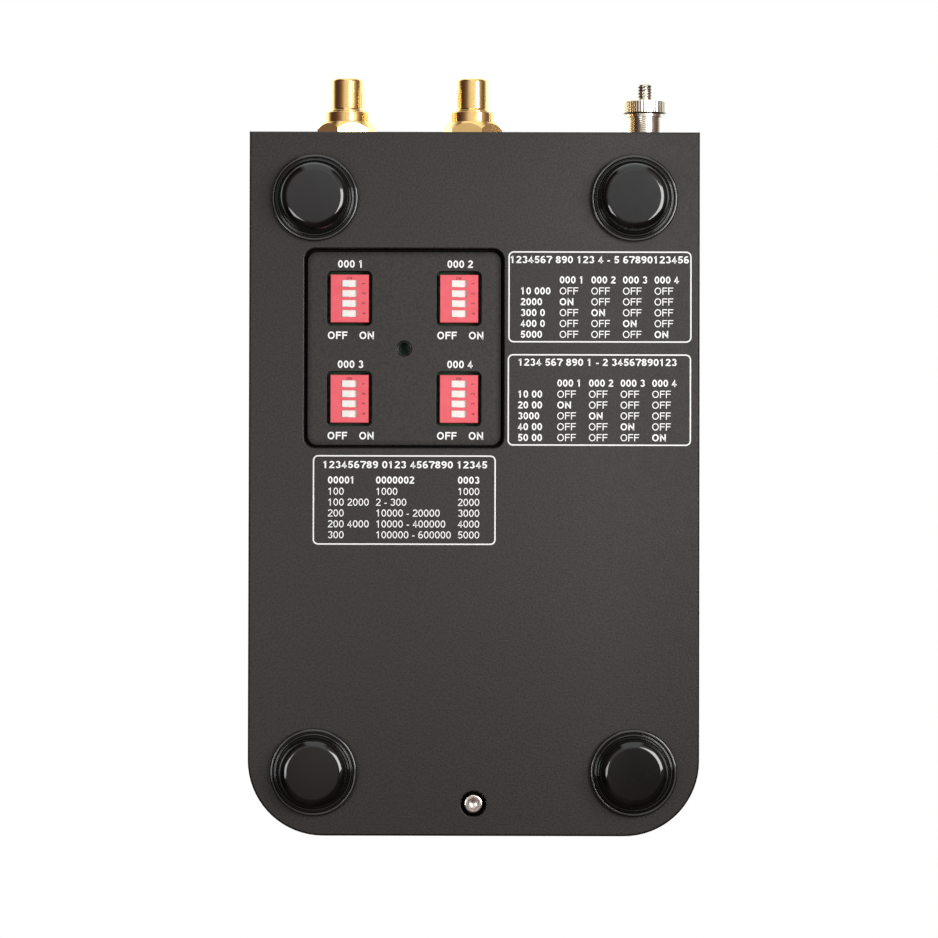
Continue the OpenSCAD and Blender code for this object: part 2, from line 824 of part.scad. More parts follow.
module rca_washers() {
    color("#d9d4c4")
        for (n = [1:4])
            on_rear(rca_at(n)[0], rca_at(n)[1])
                translate([0, 0, -wall - rca_washer_t])
                    difference() {
                        cylinder(r = rca_nut_af / 2, h = rca_washer_t);
                        translate([0, 0, -1])
                            cylinder(r = rca_shank_d / 2 + fit, h = rca_washer_t + 2);
                    }
}

module rca_nuts() {
    color("#e0b45c")
        for (n = [1:4])
            on_rear(rca_at(n)[0], rca_at(n)[1], 30)
                translate([0, 0, -wall - rca_washer_t - rca_nut_t])
                    difference() {
                        hexagon(rca_nut_af, rca_nut_t, rca_nut_af / 2, 0.3);
                        translate([0, 0, -1])
                            cylinder(r = rca_shank_d / 2 + fit, h = rca_nut_t + 2);
                    }
}

// Ridged barrel of the ground post
module ground_post() {
    rib = 0.55;
    ribs = floor((ground_post_l - 0.4) / rib);
    color("#d8cdb6")
        on_rear(ground_x, ground_z)
            difference() {
                union() {
                    cylinder(r = ground_post_d / 2 - 0.15, h = ground_post_l);
                    for (i = [0:ribs - 1])
                        translate([0, 0, 0.2 + i * rib])
                            cylinder(r = ground_post_d / 2, h = rib * 0.6);
                }
                translate([0, 0, -1])
                    cylinder(r = ground_stud_d / 2 + fit, h = ground_post_l + 2);
            }
}

// Stud of the ground post with its head inside the case
module ground_stud() {
    deep = wall + back_nut_t + 3;
    color("#d6d2c8")
        on_rear(ground_x, ground_z)
            rotate_extrude()
                polygon([
                    [0, -deep], [ground_stud_d / 2 - 0.3, -deep], [ground_stud_d / 2, -deep + 0.3],
                    [ground_stud_d / 2, ground_stud_reach - 0.4],
                    [ground_stud_d / 2 - 0.4, ground_stud_reach], [0, ground_stud_reach]
                ]);
}

module ground_back_nut() {
    color("#c9c7c2")
        on_rear(ground_x, ground_z)
            translate([0, 0, -wall - back_nut_t])
                difference() {
                    hexagon(back_nut_af, back_nut_t, back_nut_af / 2, 0.3);
                    translate([0, 0, -1])
                        cylinder(r = ground_stud_d / 2 + fit, h = back_nut_t + 2);
                }
}

module ground_washer() {
    color("#d8cdb6")
        on_rear(ground_x, ground_z)
            translate([0, 0, ground_post_l + fit])
                difference() {
                    cylinder(r = ground_washer_d / 2, h = ground_washer_t);
                    translate([0, 0, -1])
                        cylinder(r = ground_stud_d / 2 + fit, h = ground_washer_t + 2);
                }
}

// Thumb nut with straight ridges around it and a chamfer at both ends
module ground_nut() {
    r = thumb_nut_d / 2;
    depth = 0.3;
    star = [for (i = [0:2 * thumb_nut_ridges - 1])
        (i % 2 == 0 ? r : r - depth) * [cos(180 * i / thumb_nut_ridges), sin(180 * i / thumb_nut_ridges)]];
    color("#dcd7cc")
        on_rear(ground_x, ground_z)
            translate([0, 0, ground_post_l + ground_washer_t + 2 * fit])
                difference() {
                    intersection() {
                        linear_extrude(thumb_nut_t)
                            polygon(star);
                        rotate_extrude()
                            polygon([
                                [0, 0], [r - 0.35, 0], [r + 0.1, 0.45], [r + 0.1, thumb_nut_t - 0.5],
                                [r - 1.6, thumb_nut_t], [0, thumb_nut_t]
                            ]);
                    }
                    translate([0, 0, -1])
                        cylinder(r = ground_stud_d / 2 + fit, h = thumb_nut_t + 2);
                }
}

// Inlet that stands on the board behind the rear panel
module power_inlet() {
    color("#1c1c1d")
        in_case(inlet_x, inner_rear_y - fit, board_top_z)
            difference() {
                union() {
                    translate([-inlet_body[0] / 2, -inlet_body[1], 0])
                        cube(inlet_body);
                    translate([0, -eps, inlet_z - board_top_z])
                        rotate([-90, 0, 0])
                            cylinder(r = inlet_d / 2 + 1.2, h = wall - 0.2);
                }
                translate([0, -inlet_body[1] + 2.5, inlet_z - board_top_z])
                    rotate([-90, 0, 0])
                        cylinder(r = inlet_d / 2, h = inlet_body[1] + wall);
            }
}

module inlet_pin() {
    color("#cfccc4")
        in_case(inlet_x, inner_rear_y - fit - inlet_body[1] + 2.5, inlet_z)
            rotate([-90, 0, 0])
                rotate_extrude()
                    polygon(concat(
                        [[0, 0]],
                        [[inlet_pin_d / 2, 0]],
                        arc(inlet_pin_d / 2 - 0.4, 12.6, 0.4, 0, 90, 4),
                        [[0, 13]]
                    ));
}

// Light behind the front wall with its two leads down to the board
module power_led() {
    lead = 0.5;
    tail_y = board_y0 + 2;
    body_y0 = front_y + 0.1;
    body_l = wall + 3;
    color("#e9eef2")
        in_case(0, 0, 0) {
            translate([0, body_y0, led_z])
                rotate([-90, 0, 0])
                    rotate_extrude()
                        polygon(concat(
                            [[0, body_l]],
                            [[led_d / 2, body_l]],
                            arc(0, led_d / 2, led_d / 2, 0, -90, 10)
                        ));
            for (side = [-1, 1])
                translate([side * 1.27 / 1.5 - lead / 2, 0, 0]) {
                    translate([0, body_y0 + body_l - eps, led_z - lead / 2])
                        cube([lead, tail_y - body_y0 - body_l + lead, lead]);
                    translate([0, tail_y, board_top_z])
                        cube([lead, lead, led_z - board_top_z]);
                }
        }
}

// Boxed capacitors in two columns above the switches
module film_capacitors() {
    pitch = film_w + 4.5;
    color("#a83a32")
        for (row = [0:3], side = [-1, 1])
            in_case(side * 2 * film_l - film_l / 2, pocket_y + (row - 1) * pitch, board_top_z)
                cube([film_l, film_w, film_h]);
}

// Round capacitors of the supply in two columns at the front of the board
module electrolytic_capacitors() {
    r = can_d / 2;
    pitch = can_d + 2.5;
    color("#2f3a55")
        for (i = [0:3], side = [-1, 1])
            in_case(side * (board_w / 2 - r - 9), board_y0 + 2 * spacer_inset + r + i * pitch, board_top_z)
                rotate_extrude()
                    polygon(concat(
                        [[0, 0], [r, 0], [r, 1.2], [r - 0.3, 1.6], [r, 2]],
                        arc(r - 0.5, can_h - 0.5, 0.5, 0, 90, 4),
                        [[0, can_h]]
                    ));
}

// Two pairs of amplifier chips on their leads
module amplifier_chips() {
    row_x = chip_w / 2 + 0.6;
    stand = 0.6;
    shoulder = stand + chip_t / 2;
    color("#202022")
        for (i = [-1, 1], side = [-1, 1])
            in_case(side * 1.5 * chip_w, board_y1 - board_l / 2.4 + i * 1.6 * chip_l, board_top_z) {
                translate([-chip_w / 2, -chip_l / 2, stand])
                    cube([chip_w, chip_l, chip_t]);
                for (lead = [0:3], edge = [-1, 1])
                    translate([edge * row_x, (lead - 1.5) * 2.54, 0]) {
                        translate([-lead_t / 2, -lead_t / 2, 0])
                            cube([lead_t, lead_t, shoulder]);
                        translate([-edge * row_x / 8 - lead_t, -lead_t / 2, shoulder - lead_t / 2])
                            cube([2 * lead_t, lead_t, lead_t / 2]);
                    }
            }
}

// Two regulators standing on their leads
module regulators() {
    stand = 2.5;
    body_t = 4.5;
    tab_t = 1.3;
    tab_h = 6.3;
    color("#2a2a2c")
        for (side = [-1, 1])
            in_case(side * 1.2 * regulator_w - regulator_w / 2, board_y0 + 2.2 * can_d, board_top_z) {
                translate([0, 0, stand])
                    cube([regulator_w, body_t, regulator_h]);
                translate([0, body_t - tab_t, stand + regulator_h - eps])
                    cube([regulator_w, tab_t, tab_h]);
                for (lead = [-1:1])
                    translate([regulator_w / 2 + lead * 2.54 - lead_t / 2, body_t / 2, 0])
                        cube([lead_t, lead_t, stand + eps]);
            }
}

// Resistors lying in two columns between the chips and the supply
module resistors() {
    r = resistor_d / 2;
    pitch = 2 * resistor_d;
    tail = 1.2;
    color("#6fa8c9")
        for (row = [0:7], side = [-1, 1])
            in_case(side * 2 * film_l, pocket_y - 2 * film_l - film_w - row * pitch, board_top_z) {
                translate([-resistor_l / 2, 0, r])
                    rotate([0, 90, 0])
                        cylinder(r = r, h = resistor_l);
                for (edge = [-1, 1])
                    translate([edge * (resistor_l / 2 + tail / 2), 0, 0]) {
                        translate([-tail / 2 - lead_t / 2, -lead_t / 2, r - lead_t / 2])
                            cube([tail + lead_t, lead_t, lead_t]);
                        translate([edge * tail / 2 - lead_t / 2, -lead_t / 2, 0])
                            cube([lead_t, lead_t, r]);
                    }
            }
}

// Leads from the sockets' tails, which bend down to the board
module signal_wires() {
    r = wire_d / 2;
    bend = 2;
    tail_y = rear_y - core_deep - contact_tail - fit;
    color("#c8c4bb")
        for (n = [1:4]) {
            drop_y = board_y1 - (n <= 2 ? 2 : 6);
            z = rca_at(n)[1];
            in_case(rca_at(n)[0], 0, 0) {
                translate([0, drop_y + bend, z])
                    rotate([-90, 0, 0])
                        cylinder(r = r, h = tail_y - drop_y - bend);
                translate([0, drop_y + bend, z - bend])
                    rotate([90, 0, 90])
                        rotate([0, 0, 90])
                            rotate_extrude(angle = 90)
                                translate([bend, 0])
                                    circle(r = r);
                translate([0, drop_y, board_top_z])
                    cylinder(r = r, h = z - bend - board_top_z);
            }
        }
}

housing();
bottom_plate();
rear_panel();
foot(1);  // foot_1
foot(2);  // foot_2
foot(3);  // foot_3
foot(4);  // foot_4
foot_pads();
plate_screw();
panel_screws();
board();
board_spacers();
board_screws();
dip_cover(1);  // dip_1_cover
dip_cover(2);  // dip_2_cover
dip_cover(3);  // dip_3_cover
dip_cover(4);  // dip_4_cover
dip_base(1);  // dip_1_base
dip_base(2);  // dip_2_base
dip_base(3);  // dip_3_base
dip_base(4);  // dip_4_base
dip_contacts();
dip_slider(1, 1);  // dip_1_slider_1
dip_slider(1, 2);  // dip_1_slider_2
dip_slider(1, 3);  // dip_1_slider_3
dip_slider(1, 4);  // dip_1_slider_4
dip_slider(2, 1);  // dip_2_slider_1
dip_slider(2, 2);  // dip_2_slider_2
dip_slider(2, 3);  // dip_2_slider_3
dip_slider(2, 4);  // dip_2_slider_4
dip_slider(3, 1);  // dip_3_slider_1
dip_slider(3, 2);  // dip_3_slider_2
dip_slider(3, 3);  // dip_3_slider_3
dip_slider(3, 4);  // dip_3_slider_4
dip_slider(4, 1);  // dip_4_slider_1
dip_slider(4, 2);  // dip_4_slider_2
dip_slider(4, 3);  // dip_4_slider_3
dip_slider(4, 4);  // dip_4_slider_4
rca_shell(1);  // rca_1_shell
rca_shell(2);  // rca_2_shell
rca_shell(3);  // rca_3_shell
rca_shell(4);  // rca_4_shell
rca_insulators();
rca_contacts();
rca_nuts();
rca_washers();
ground_post();
ground_stud();
ground_back_nut();
ground_washer();
ground_nut();
power_inlet();
inlet_pin();
power_led();
film_capacitors();
electrolytic_capacitors();
amplifier_chips();
regulators();
resistors();
signal_wires();
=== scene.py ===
import json
import math

import bmesh
import bpy
from mathutils import Matrix, Vector


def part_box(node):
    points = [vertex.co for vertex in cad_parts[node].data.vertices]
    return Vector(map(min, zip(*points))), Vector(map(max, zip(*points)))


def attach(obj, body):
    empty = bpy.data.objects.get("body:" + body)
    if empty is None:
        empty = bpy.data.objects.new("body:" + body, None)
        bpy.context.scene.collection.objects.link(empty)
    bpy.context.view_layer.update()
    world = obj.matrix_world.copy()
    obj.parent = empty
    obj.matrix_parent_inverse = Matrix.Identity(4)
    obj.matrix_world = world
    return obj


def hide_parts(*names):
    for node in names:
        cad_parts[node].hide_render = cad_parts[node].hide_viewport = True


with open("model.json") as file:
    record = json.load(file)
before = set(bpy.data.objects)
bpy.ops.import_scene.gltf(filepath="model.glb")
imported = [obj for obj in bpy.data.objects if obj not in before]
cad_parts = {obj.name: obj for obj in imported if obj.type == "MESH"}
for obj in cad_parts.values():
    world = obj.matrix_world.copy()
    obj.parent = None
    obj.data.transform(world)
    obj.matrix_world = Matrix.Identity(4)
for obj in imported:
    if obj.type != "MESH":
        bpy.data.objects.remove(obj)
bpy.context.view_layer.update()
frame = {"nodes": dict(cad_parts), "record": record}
nodes = frame["nodes"]
print("frame loaded:", len(nodes), "solids")

mm = 0.001


def tint(code):
    # sRGB hex to the linear colour that a shader takes
    parts = [int(code[i:i + 2], 16) / 255 for i in (1, 3, 5)]
    return [p / 12.92 if p <= 0.04045 else ((p + 0.055) / 1.055) ** 2.4 for p in parts] + [1.0]


def addNode(tree, kind, inputs=None, **settings):
    # one node with its settings; an input is a value, a socket, or a node whose first output feeds it
    node = tree.nodes.new(kind)
    for name, value in settings.items():
        setattr(node, name, value)
    for key, value in (inputs or {}).items():
        value = value.outputs[0] if isinstance(value, bpy.types.Node) else value
        if isinstance(value, bpy.types.NodeSocket):
            tree.links.new(value, node.inputs[key])
        else:
            node.inputs[key].default_value = value
    return node


def newMaterial(name, **shaderInputs):
    # a Principled shader on object coordinates; each finish adds its own pattern
    material = bpy.data.materials.new(name)
    material.use_nodes = True
    tree = material.node_tree
    tree.nodes.clear()
    shader = addNode(tree, "ShaderNodeBsdfPrincipled", shaderInputs)
    addNode(tree, "ShaderNodeOutputMaterial", {"Surface": shader.outputs["BSDF"]})
    coords = addNode(tree, "ShaderNodeTexCoord").outputs["Object"]
    return material, tree, shader, coords


def addMottle(tree, shader, coords, dark, light, size, detail=4.0, spread=0.5):
    # colour that drifts between two shades over patches of the given size; less spread is harder
    noise = addNode(tree, "ShaderNodeTexNoise", {"Vector": coords, "Scale": 1 / size, "Detail": detail})
    share = addNode(tree, "ShaderNodeMapRange", {
        "Value": noise, "From Min": 0.5 - spread, "From Max": 0.5 + spread})
    shade = addNode(tree, "ShaderNodeMix", {0: share, 6: tint(dark), 7: tint(light)}, data_type="RGBA")
    tree.links.new(shade.outputs[2], shader.inputs["Base Color"])
    return shade.outputs[2]


def addGloss(tree, shader, coords, low, high, size):
    # roughness that varies over handled or moulded patches
    noise = addNode(tree, "ShaderNodeTexNoise", {"Vector": coords, "Scale": 1 / size, "Detail": 5.0})
    span = addNode(tree, "ShaderNodeMapRange", {
        "Value": noise, "From Min": 0.3, "From Max": 0.7, "To Min": low, "To Max": high})
    tree.links.new(span.outputs["Result"], shader.inputs["Roughness"])


def addRelief(tree, shader, height, depth, after=None):
    # turns a pattern into relief of the given depth, on top of an earlier normal if there is one
    bump = addNode(tree, "ShaderNodeBump", {"Height": height, "Distance": depth, "Strength": 1.0})
    if after:
        tree.links.new(after, bump.inputs["Normal"])
    tree.links.new(bump.outputs["Normal"], shader.inputs["Normal"])


def addGrain(tree, shader, coords, size, depth, after=None):
    # fine relief; size and depth are the real grain's
    noise = addNode(tree, "ShaderNodeTexNoise", {
        "Vector": coords, "Scale": 1 / size, "Detail": 2.0, "Roughness": 0.6})
    addRelief(tree, shader, noise, depth, after)


def addTurning(tree, shader, coords, pitch, depth, axis):
    # rings that a lathe tool leaves, one for each step of the feed along the axis
    wave = addNode(tree, "ShaderNodeTexWave", {
        "Vector": coords, "Scale": 1 / pitch / 20 * math.tau, "Distortion": 0.4, "Detail": 2.0,
        "Detail Scale": 3.0}, wave_type="BANDS", bands_direction=axis)
    addRelief(tree, shader, wave.outputs["Fac"], depth)


# ---- finishes of the case

anodisedLook = {
    "plate": ("#120f0d", "#2a231e", 0.42, 0.5),  # two shades, roughness from and to
    "case": ("#121010", "#262221", 0.44, 0.49),
    "specular": 0.37, "edgeRound": 0.22 * mm, "edgeRough": 0.3, "edgeTilt": 0.97,
    "grain": 0.4 * mm, "grainDepth": 0.03 * mm, "speckle": 0.5 * mm, "spread": 0.16,
    "patch": 22 * mm, "patchLevels": (0.9, 1.1), "glossPatch": 3 * mm,
    "hollowFrom": (1.0, 1.4), "hollowReach": 2.4 * mm, "hollowPower": 1.35,  # mm behind the outer face
    "sideShade": (-28, -58, 0.84), "frontShade": (-10, -97, 0.9),  # painted shade: darker towards the viewer's right edge and the front
}


def addPaintedShade(tree, shader, coords):
    # painted shade: base colour and specular dimmed by ambient occlusion deep in the pocket, and towards the
    # viewer's right edge and the front
    look = anodisedLook
    face = min(corner[2] for corner in nodes["bottom_plate"].bound_box)
    place = addNode(tree, "ShaderNodeSeparateXYZ", {0: coords}).outputs
    behind = addNode(tree, "ShaderNodeMapRange", {
        "Value": place["Z"], "From Min": face + look["hollowFrom"][0] * mm,
        "From Max": face + look["hollowFrom"][1] * mm})
    # painted shade in the pocket's corners and groove, from ambient occlusion
    corner = addNode(tree, "ShaderNodeAmbientOcclusion", {"Distance": look["hollowReach"]}, samples=6)
    depth = addNode(tree, "ShaderNodeMath", {0: corner.outputs["AO"], 1: look["hollowPower"]},
                    operation="POWER")
    level = addNode(tree, "ShaderNodeMix", {0: behind, 2: 1.0, 3: depth})
    # painted shade towards the viewer's right edge and the front of the plate
    for axis, (start, end, deepest) in (("X", look["sideShade"]), ("Y", look["frontShade"])):
        fade = addNode(tree, "ShaderNodeMapRange", {
            "Value": place[axis], "From Min": start * mm, "From Max": end * mm,
            "To Min": 1.0, "To Max": deepest}, interpolation_type="SMOOTHSTEP")
        level = addNode(tree, "ShaderNodeMath", {0: level, 1: fade}, operation="MULTIPLY")
    colour = shader.inputs["Base Color"].links[0].from_socket
    paintedShadeColour = addNode(tree, "ShaderNodeMix", {0: 1.0, 6: colour, 7: level},
                     data_type="RGBA", blend_type="MULTIPLY")
    tree.links.new(paintedShadeColour.outputs[2], shader.inputs["Base Color"])
    sheen = addNode(tree, "ShaderNodeMath", {0: level, 1: look["specular"]}, operation="MULTIPLY")
    tree.links.new(sheen.outputs[0], shader.inputs["Specular IOR Level"])


def blastedAnodisedAluminium(part, paintShade=False):
    # bead-blasted aluminium, dyed black in the anodising bath: a dry satin with an even, fine speckle,
    # and a little smoother where its edges were broken
    look = anodisedLook
    dark, light, *rough = look[part]
    material, tree, shader, coords = newMaterial("blasted_anodised_aluminium_" + part, Metallic=0.0)
    shader.inputs["IOR"].default_value = 1.5
    shader.inputs["Specular IOR Level"].default_value = look["specular"]
    speckled = addMottle(tree, shader, coords, dark, light, look["speckle"], 2.0, look["spread"])
    broad = addNode(tree, "ShaderNodeTexNoise", {
        "Vector": coords, "Scale": 1 / look["patch"], "Detail": 2.0})
    low, high = look["patchLevels"]
    drift = addNode(tree, "ShaderNodeMapRange", {"Value": broad, "To Min": low, "To Max": high})
    shade = addNode(tree, "ShaderNodeMix", {0: 1.0, 6: speckled, 7: drift},
                    data_type="RGBA", blend_type="MULTIPLY")
    tree.links.new(shade.outputs[2], shader.inputs["Base Color"])
    if paintShade:
        addPaintedShade(tree, shader, coords)
    rounded = addNode(tree, "ShaderNodeBevel", {"Radius": look["edgeRound"]}, samples=4)
    addGrain(tree, shader, coords, look["grain"], look["grainDepth"], after=rounded.outputs["Normal"])
    facing = addNode(tree, "ShaderNodeVectorMath", {0: rounded, 1: (0, 0, 1)}, operation="DOT_PRODUCT")
    slope = addNode(tree, "ShaderNodeMath", {0: facing.outputs["Value"]}, operation="ABSOLUTE")
    onEdge = addNode(tree, "ShaderNodeMapRange", {
        "Value": slope, "From Min": 1.0, "From Max": look["edgeTilt"], "To Min": 0.0, "To Max": 1.0})
    gloss = addNode(tree, "ShaderNodeTexNoise", {
        "Vector": coords, "Scale": 1 / look["glossPatch"], "Detail": 4.0})
    flat = addNode(tree, "ShaderNodeMapRange", {
        "Value": gloss, "From Min": 0.3, "From Max": 0.7, "To Min": rough[0], "To Max": rough[1]})
    ends = addNode(tree, "ShaderNodeMix", {0: onEdge, 2: flat, 3: look["edgeRough"]})
    tree.links.new(ends.outputs[0], shader.inputs["Roughness"])
    return material


plateAluminium = blastedAnodisedAluminium("plate", paintShade=True)
caseAluminium = blastedAnodisedAluminium("case")


def mouldedRubber():
    # compression-moulded rubber: deep black and glossy, with a faint waviness from the mould,
    # and a painted grey highlight along its narrow ridges
    material, tree, shader, coords = newMaterial("moulded_rubber")
    shader.inputs["IOR"].default_value = 1.58
    black = addMottle(tree, shader, coords, "#080807", "#0d0c0b", 5 * mm)
    # painted highlight: grey on the crests of the rim and the ring, where light catches them
    paintedHighlight = addNode(tree, "ShaderNodeAttribute", attribute_name="paintedHighlight")
    highlighted = addNode(tree, "ShaderNodeMix", {
        0: paintedHighlight.outputs["Fac"], 6: black, 7: tint("#454341")}, data_type="RGBA")
    tree.links.new(highlighted.outputs[2], shader.inputs["Base Color"])
    addGloss(tree, shader, coords, 0.06, 0.11, 2.4 * mm)
    addGrain(tree, shader, coords, 1.6 * mm, 0.0016 * mm)
    return material


def foamTape():
    # black foam tape with open cells along its cut edge
    material, tree, shader, coords = newMaterial("foam_tape", Roughness=0.95)
    addMottle(tree, shader, coords, "#151515", "#262626", 0.5 * mm)
    addGrain(tree, shader, coords, 0.4 * mm, 0.1 * mm)
    return material


# ---- metals

def platedMetal(name, dark, light, roughLow, roughHigh, pitch, axis):
    # plated turned metal: the plating keeps the lathe's fine rings and blurs them a little
    material, tree, shader, coords = newMaterial(name, Metallic=1.0)
    addMottle(tree, shader, coords, dark, light, 2.5 * mm)
    addGloss(tree, shader, coords, roughLow, roughHigh, 1.5 * mm)
    addTurning(tree, shader, coords, pitch * mm, 0.0012 * mm, axis)
    return material


# by slot: name, two shades, roughness from and to, pitch of the turned rings in millimetres, their axis
metals = {
    "gold": ("gold_plated_brass", "#f0c878", "#ffdc98", 0.1, 0.17, 0.25, "Y"),
    "nickel": ("nickel_plated_brass", "#d2c8b6", "#e4dccd", 0.12, 0.2, 0.25, "Y"),
    "brass": ("turned_brass", "#c79a4c", "#dbb468", 0.25, 0.35, 0.3, "Z"),
    "stainless": ("stainless_steel", "#e6ddd0", "#f6f0e6", 0.16, 0.26, 0.2, "Z"),
    "zinc_steel": ("zinc_plated_steel", "#b9bcc0", "#cfd1d3", 0.25, 0.38, 0.3, "Z"),
    "tinned_copper": ("tinned_copper", "#c2beb4", "#d6d3ca", 0.28, 0.4, 0.3, "X"),
}


def blackOxideSteel():
    # black oxide on steel: oily dark blue-black, patchy sheen
    material, tree, shader, coords = newMaterial("black_oxide_steel", Metallic=1.0)
    addMottle(tree, shader, coords, "#1a1a1c", "#2b2b2e", 0.8 * mm)
    addGloss(tree, shader, coords, 0.3, 0.45, 0.8 * mm)
    addGrain(tree, shader, coords, 0.25 * mm, 0.004 * mm)
    return material


# ---- plastics and the board

def mouldedPlastic(name, dark, light, roughLow, roughHigh, grain, depth, patch=2):
    # injection-moulded plastic with the fine erosion texture of its mould
    material, tree, shader, coords = newMaterial(name)
    shader.inputs["IOR"].default_value = 1.5
    addMottle(tree, shader, coords, dark, light, patch * mm)
    addGloss(tree, shader, coords, roughLow, roughHigh, patch * mm)
    addGrain(tree, shader, coords, grain * mm, depth * mm)
    return material


# by slot: name, two shades, roughness from and to, then the grain, its depth and the patch in millimetres
plastics = {
    "red_plastic": ("red_pbt", "#e2525d", "#ee626c", 0.34, 0.44, 0.16, 0.004),
    "black_plastic": ("black_pbt", "#131313", "#1d1d1e", 0.42, 0.55, 0.16, 0.006),
    "white_plastic": ("white_acetal", "#e9e5de", "#f4f1ec", 0.3, 0.4, 0.2, 0.003),
    "ptfe": ("white_ptfe", "#e6e2da", "#f2efe9", 0.38, 0.5, 0.25, 0.004),
    "nylon": ("natural_nylon", "#d6cfbd", "#e4decf", 0.45, 0.55, 0.3, 0.006),
    "film_box": ("red_epoxy_box", "#7d1d18", "#932720", 0.28, 0.4, 0.2, 0.004),
    "capacitor_sleeve": ("blue_shrink_sleeve", "#1b2440", "#26325a", 0.2, 0.34, 0.9, 0.01, 3),
    "chip_epoxy": ("black_moulding_epoxy", "#17171a", "#222225", 0.55, 0.7, 0.12, 0.008),
    "resistor_lacquer": ("blue_lacquer", "#4f86a8", "#639bbb", 0.25, 0.35, 0.5, 0.01),
}
screenInk = mouldedPlastic("white_screen_ink", "#f9f6f1", "#ffffff", 0.6, 0.7, 0.12, 0.004)
coverInk = mouldedPlastic("dark_red_pad_ink", "#7a1420", "#8d1c28", 0.5, 0.6, 0.12, 0.003)


def solderMask():
    # green solder mask over glass-epoxy: satin green with the weave of the glass cloth faintly showing
    material, tree, shader, coords = newMaterial("green_solder_mask")
    addMottle(tree, shader, coords, "#1b502d", "#225e36", 7 * mm)
    addGloss(tree, shader, coords, 0.4, 0.55, 2 * mm)
    weave = addNode(tree, "ShaderNodeTexChecker", {"Vector": coords, "Scale": 1 / (0.45 * mm)})
    addRelief(tree, shader, weave.outputs["Fac"], 0.004 * mm)
    return material


def clearEpoxy():
    # cast clear epoxy of the light: glassy, with a little haze
    material, tree, shader, coords = newMaterial("clear_cast_epoxy")
    shader.inputs["IOR"].default_value = 1.53
    shader.inputs["Transmission Weight"].default_value = 0.7
    addMottle(tree, shader, coords, "#dfe6ea", "#eef2f4", 1.5 * mm)
    addGloss(tree, shader, coords, 0.06, 0.16, 1 * mm)
    return material


slotFinish = {
    "black_case": caseAluminium, "black_plate": plateAluminium, "foot_rubber": mouldedRubber(),
    "adhesive_foam": foamTape(), "black_steel": blackOxideSteel(), "circuit_board": solderMask(),
    "led_epoxy": clearEpoxy(), **{slot: platedMetal(*look) for slot, look in metals.items()},
    **{slot: mouldedPlastic(*look) for slot, look in plastics.items()},
}
for subpart in frame["record"]["subparts"]:
    for materialSlot in nodes[subpart["node"]].material_slots:
        materialSlot.material = slotFinish[subpart["material_slot"]]
print("finishes assigned:", len(slotFinish))


# ---- printing on the plate

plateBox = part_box("bottom_plate")
plateZ = plateBox[0][2]
plateMidY = (plateBox[0][1] + plateBox[1][1]) / 2
coverBox = {n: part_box(f"dip_{n}_cover") for n in (1, 2, 3, 4)}
coverZ = coverBox[1][0][2]

ink = {
    "film": 0.02 * mm,  # thickness of the print
    "line": 0.37 * mm,  # line of the table frames
    "corner": 1.2 * mm,
    "pocketDepth": 2.2 * mm,
    "thin": 0.125,  # stroke of the plain and of the bold glyphs, as a share of the capital height
    "bold": 0.185,
}


def middleOf(box):
    return [(low + high) / 2 for low, high in zip(*box)]


def bow(cx, cy, rx, ry, start, end, steps=14):
    # points along part of an ellipse, angles in degrees
    angles = [math.radians(start + (end - start) * i / steps) for i in range(steps + 1)]
    return [(cx + rx * math.cos(a), cy + ry * math.sin(a)) for a in angles]


def glyph(sign, w):
    # width of the sign and the centre lines of its strokes, in capital heights; w is the stroke
    h = w / 2
    left, right, low, high = 0.06 + h, 0.716 - h, h, 1 - h
    mid, reach, half = 0.388, 0.328 - h, 0.5 - h
    if sign == " ":
        return 0.39, []
    if sign == "-":
        return 0.47, [[(0.06, 0.34), (0.41, 0.34)]]
    if sign == "O":
        return 1.05, [bow(0.52, 0.5, 0.46 - h, half, 0, 360, 32)]
    if sign == "N":
        legs = [(0.1 + h, 0), (0.1 + h, 1)], [(0.91 - h, 0), (0.91 - h, 1)]
        return 1.01, [*legs, [(0.1 + h, 1 - h), (0.91 - h, h)]]
    if sign == "F":
        arms = [(0.1 + w, high), (0.79, high)], [(0.1 + w, 0.52), (0.73, 0.52)]
        return 0.82, [[(0.1 + h, 0), (0.1 + h, 1)], *arms]
    foot = [(left + 0.03, low + 0.06), (left, low), (0.72, low)]
    strokes = {
        "0": [bow(mid, 0.5, reach, half, 0, 360, 28)],
        "1": [[(0.47 - h, 0), (0.47 - h, 1)], [(0.14, 0.76), (0.28, 0.8), (0.4 - h, 0.92)]],
        "2": [bow(mid, 0.71, reach, 0.29 - h, 165, -35) + foot],
        "3": [bow(mid, 0.735, reach - 0.03, 0.265 - h, 160, -80), bow(mid, 0.29, reach, 0.29 - h, 80, -160)],
        "4": [[(0.56 - h, 0), (0.56 - h, 1 - h), (0.05 + h, 0.3), (0.73, 0.3)]],
        "5": [[(0.68, high), (0.17 + h, high), (0.11 + h, 0.52)]
              + bow(mid - 0.01, 0.33, reach, 0.33 - h, 135, -155)],
        "6": [bow(mid, 0.31, reach, 0.31 - h, 0, 360, 24),
              bow(mid + 0.07, 0.5, reach + 0.07, half, 185, 70)],
        "7": [[(0.05, high), (right, high)] + bow(1.0, 0.0, 0.72 - h, 0.86, 110, 180, 10)[1:]],
        "8": [bow(mid, 0.74, reach - 0.035, 0.26 - h, 0, 360, 22),
              bow(mid, 0.28, reach, 0.28 - h, 0, 360, 24)],
        "9": [bow(mid, 0.69, reach, 0.31 - h, 0, 360, 24),
              bow(mid - 0.07, 0.5, reach + 0.07, half, 5, -110)],
    }
    return 0.776, strokes[sign]


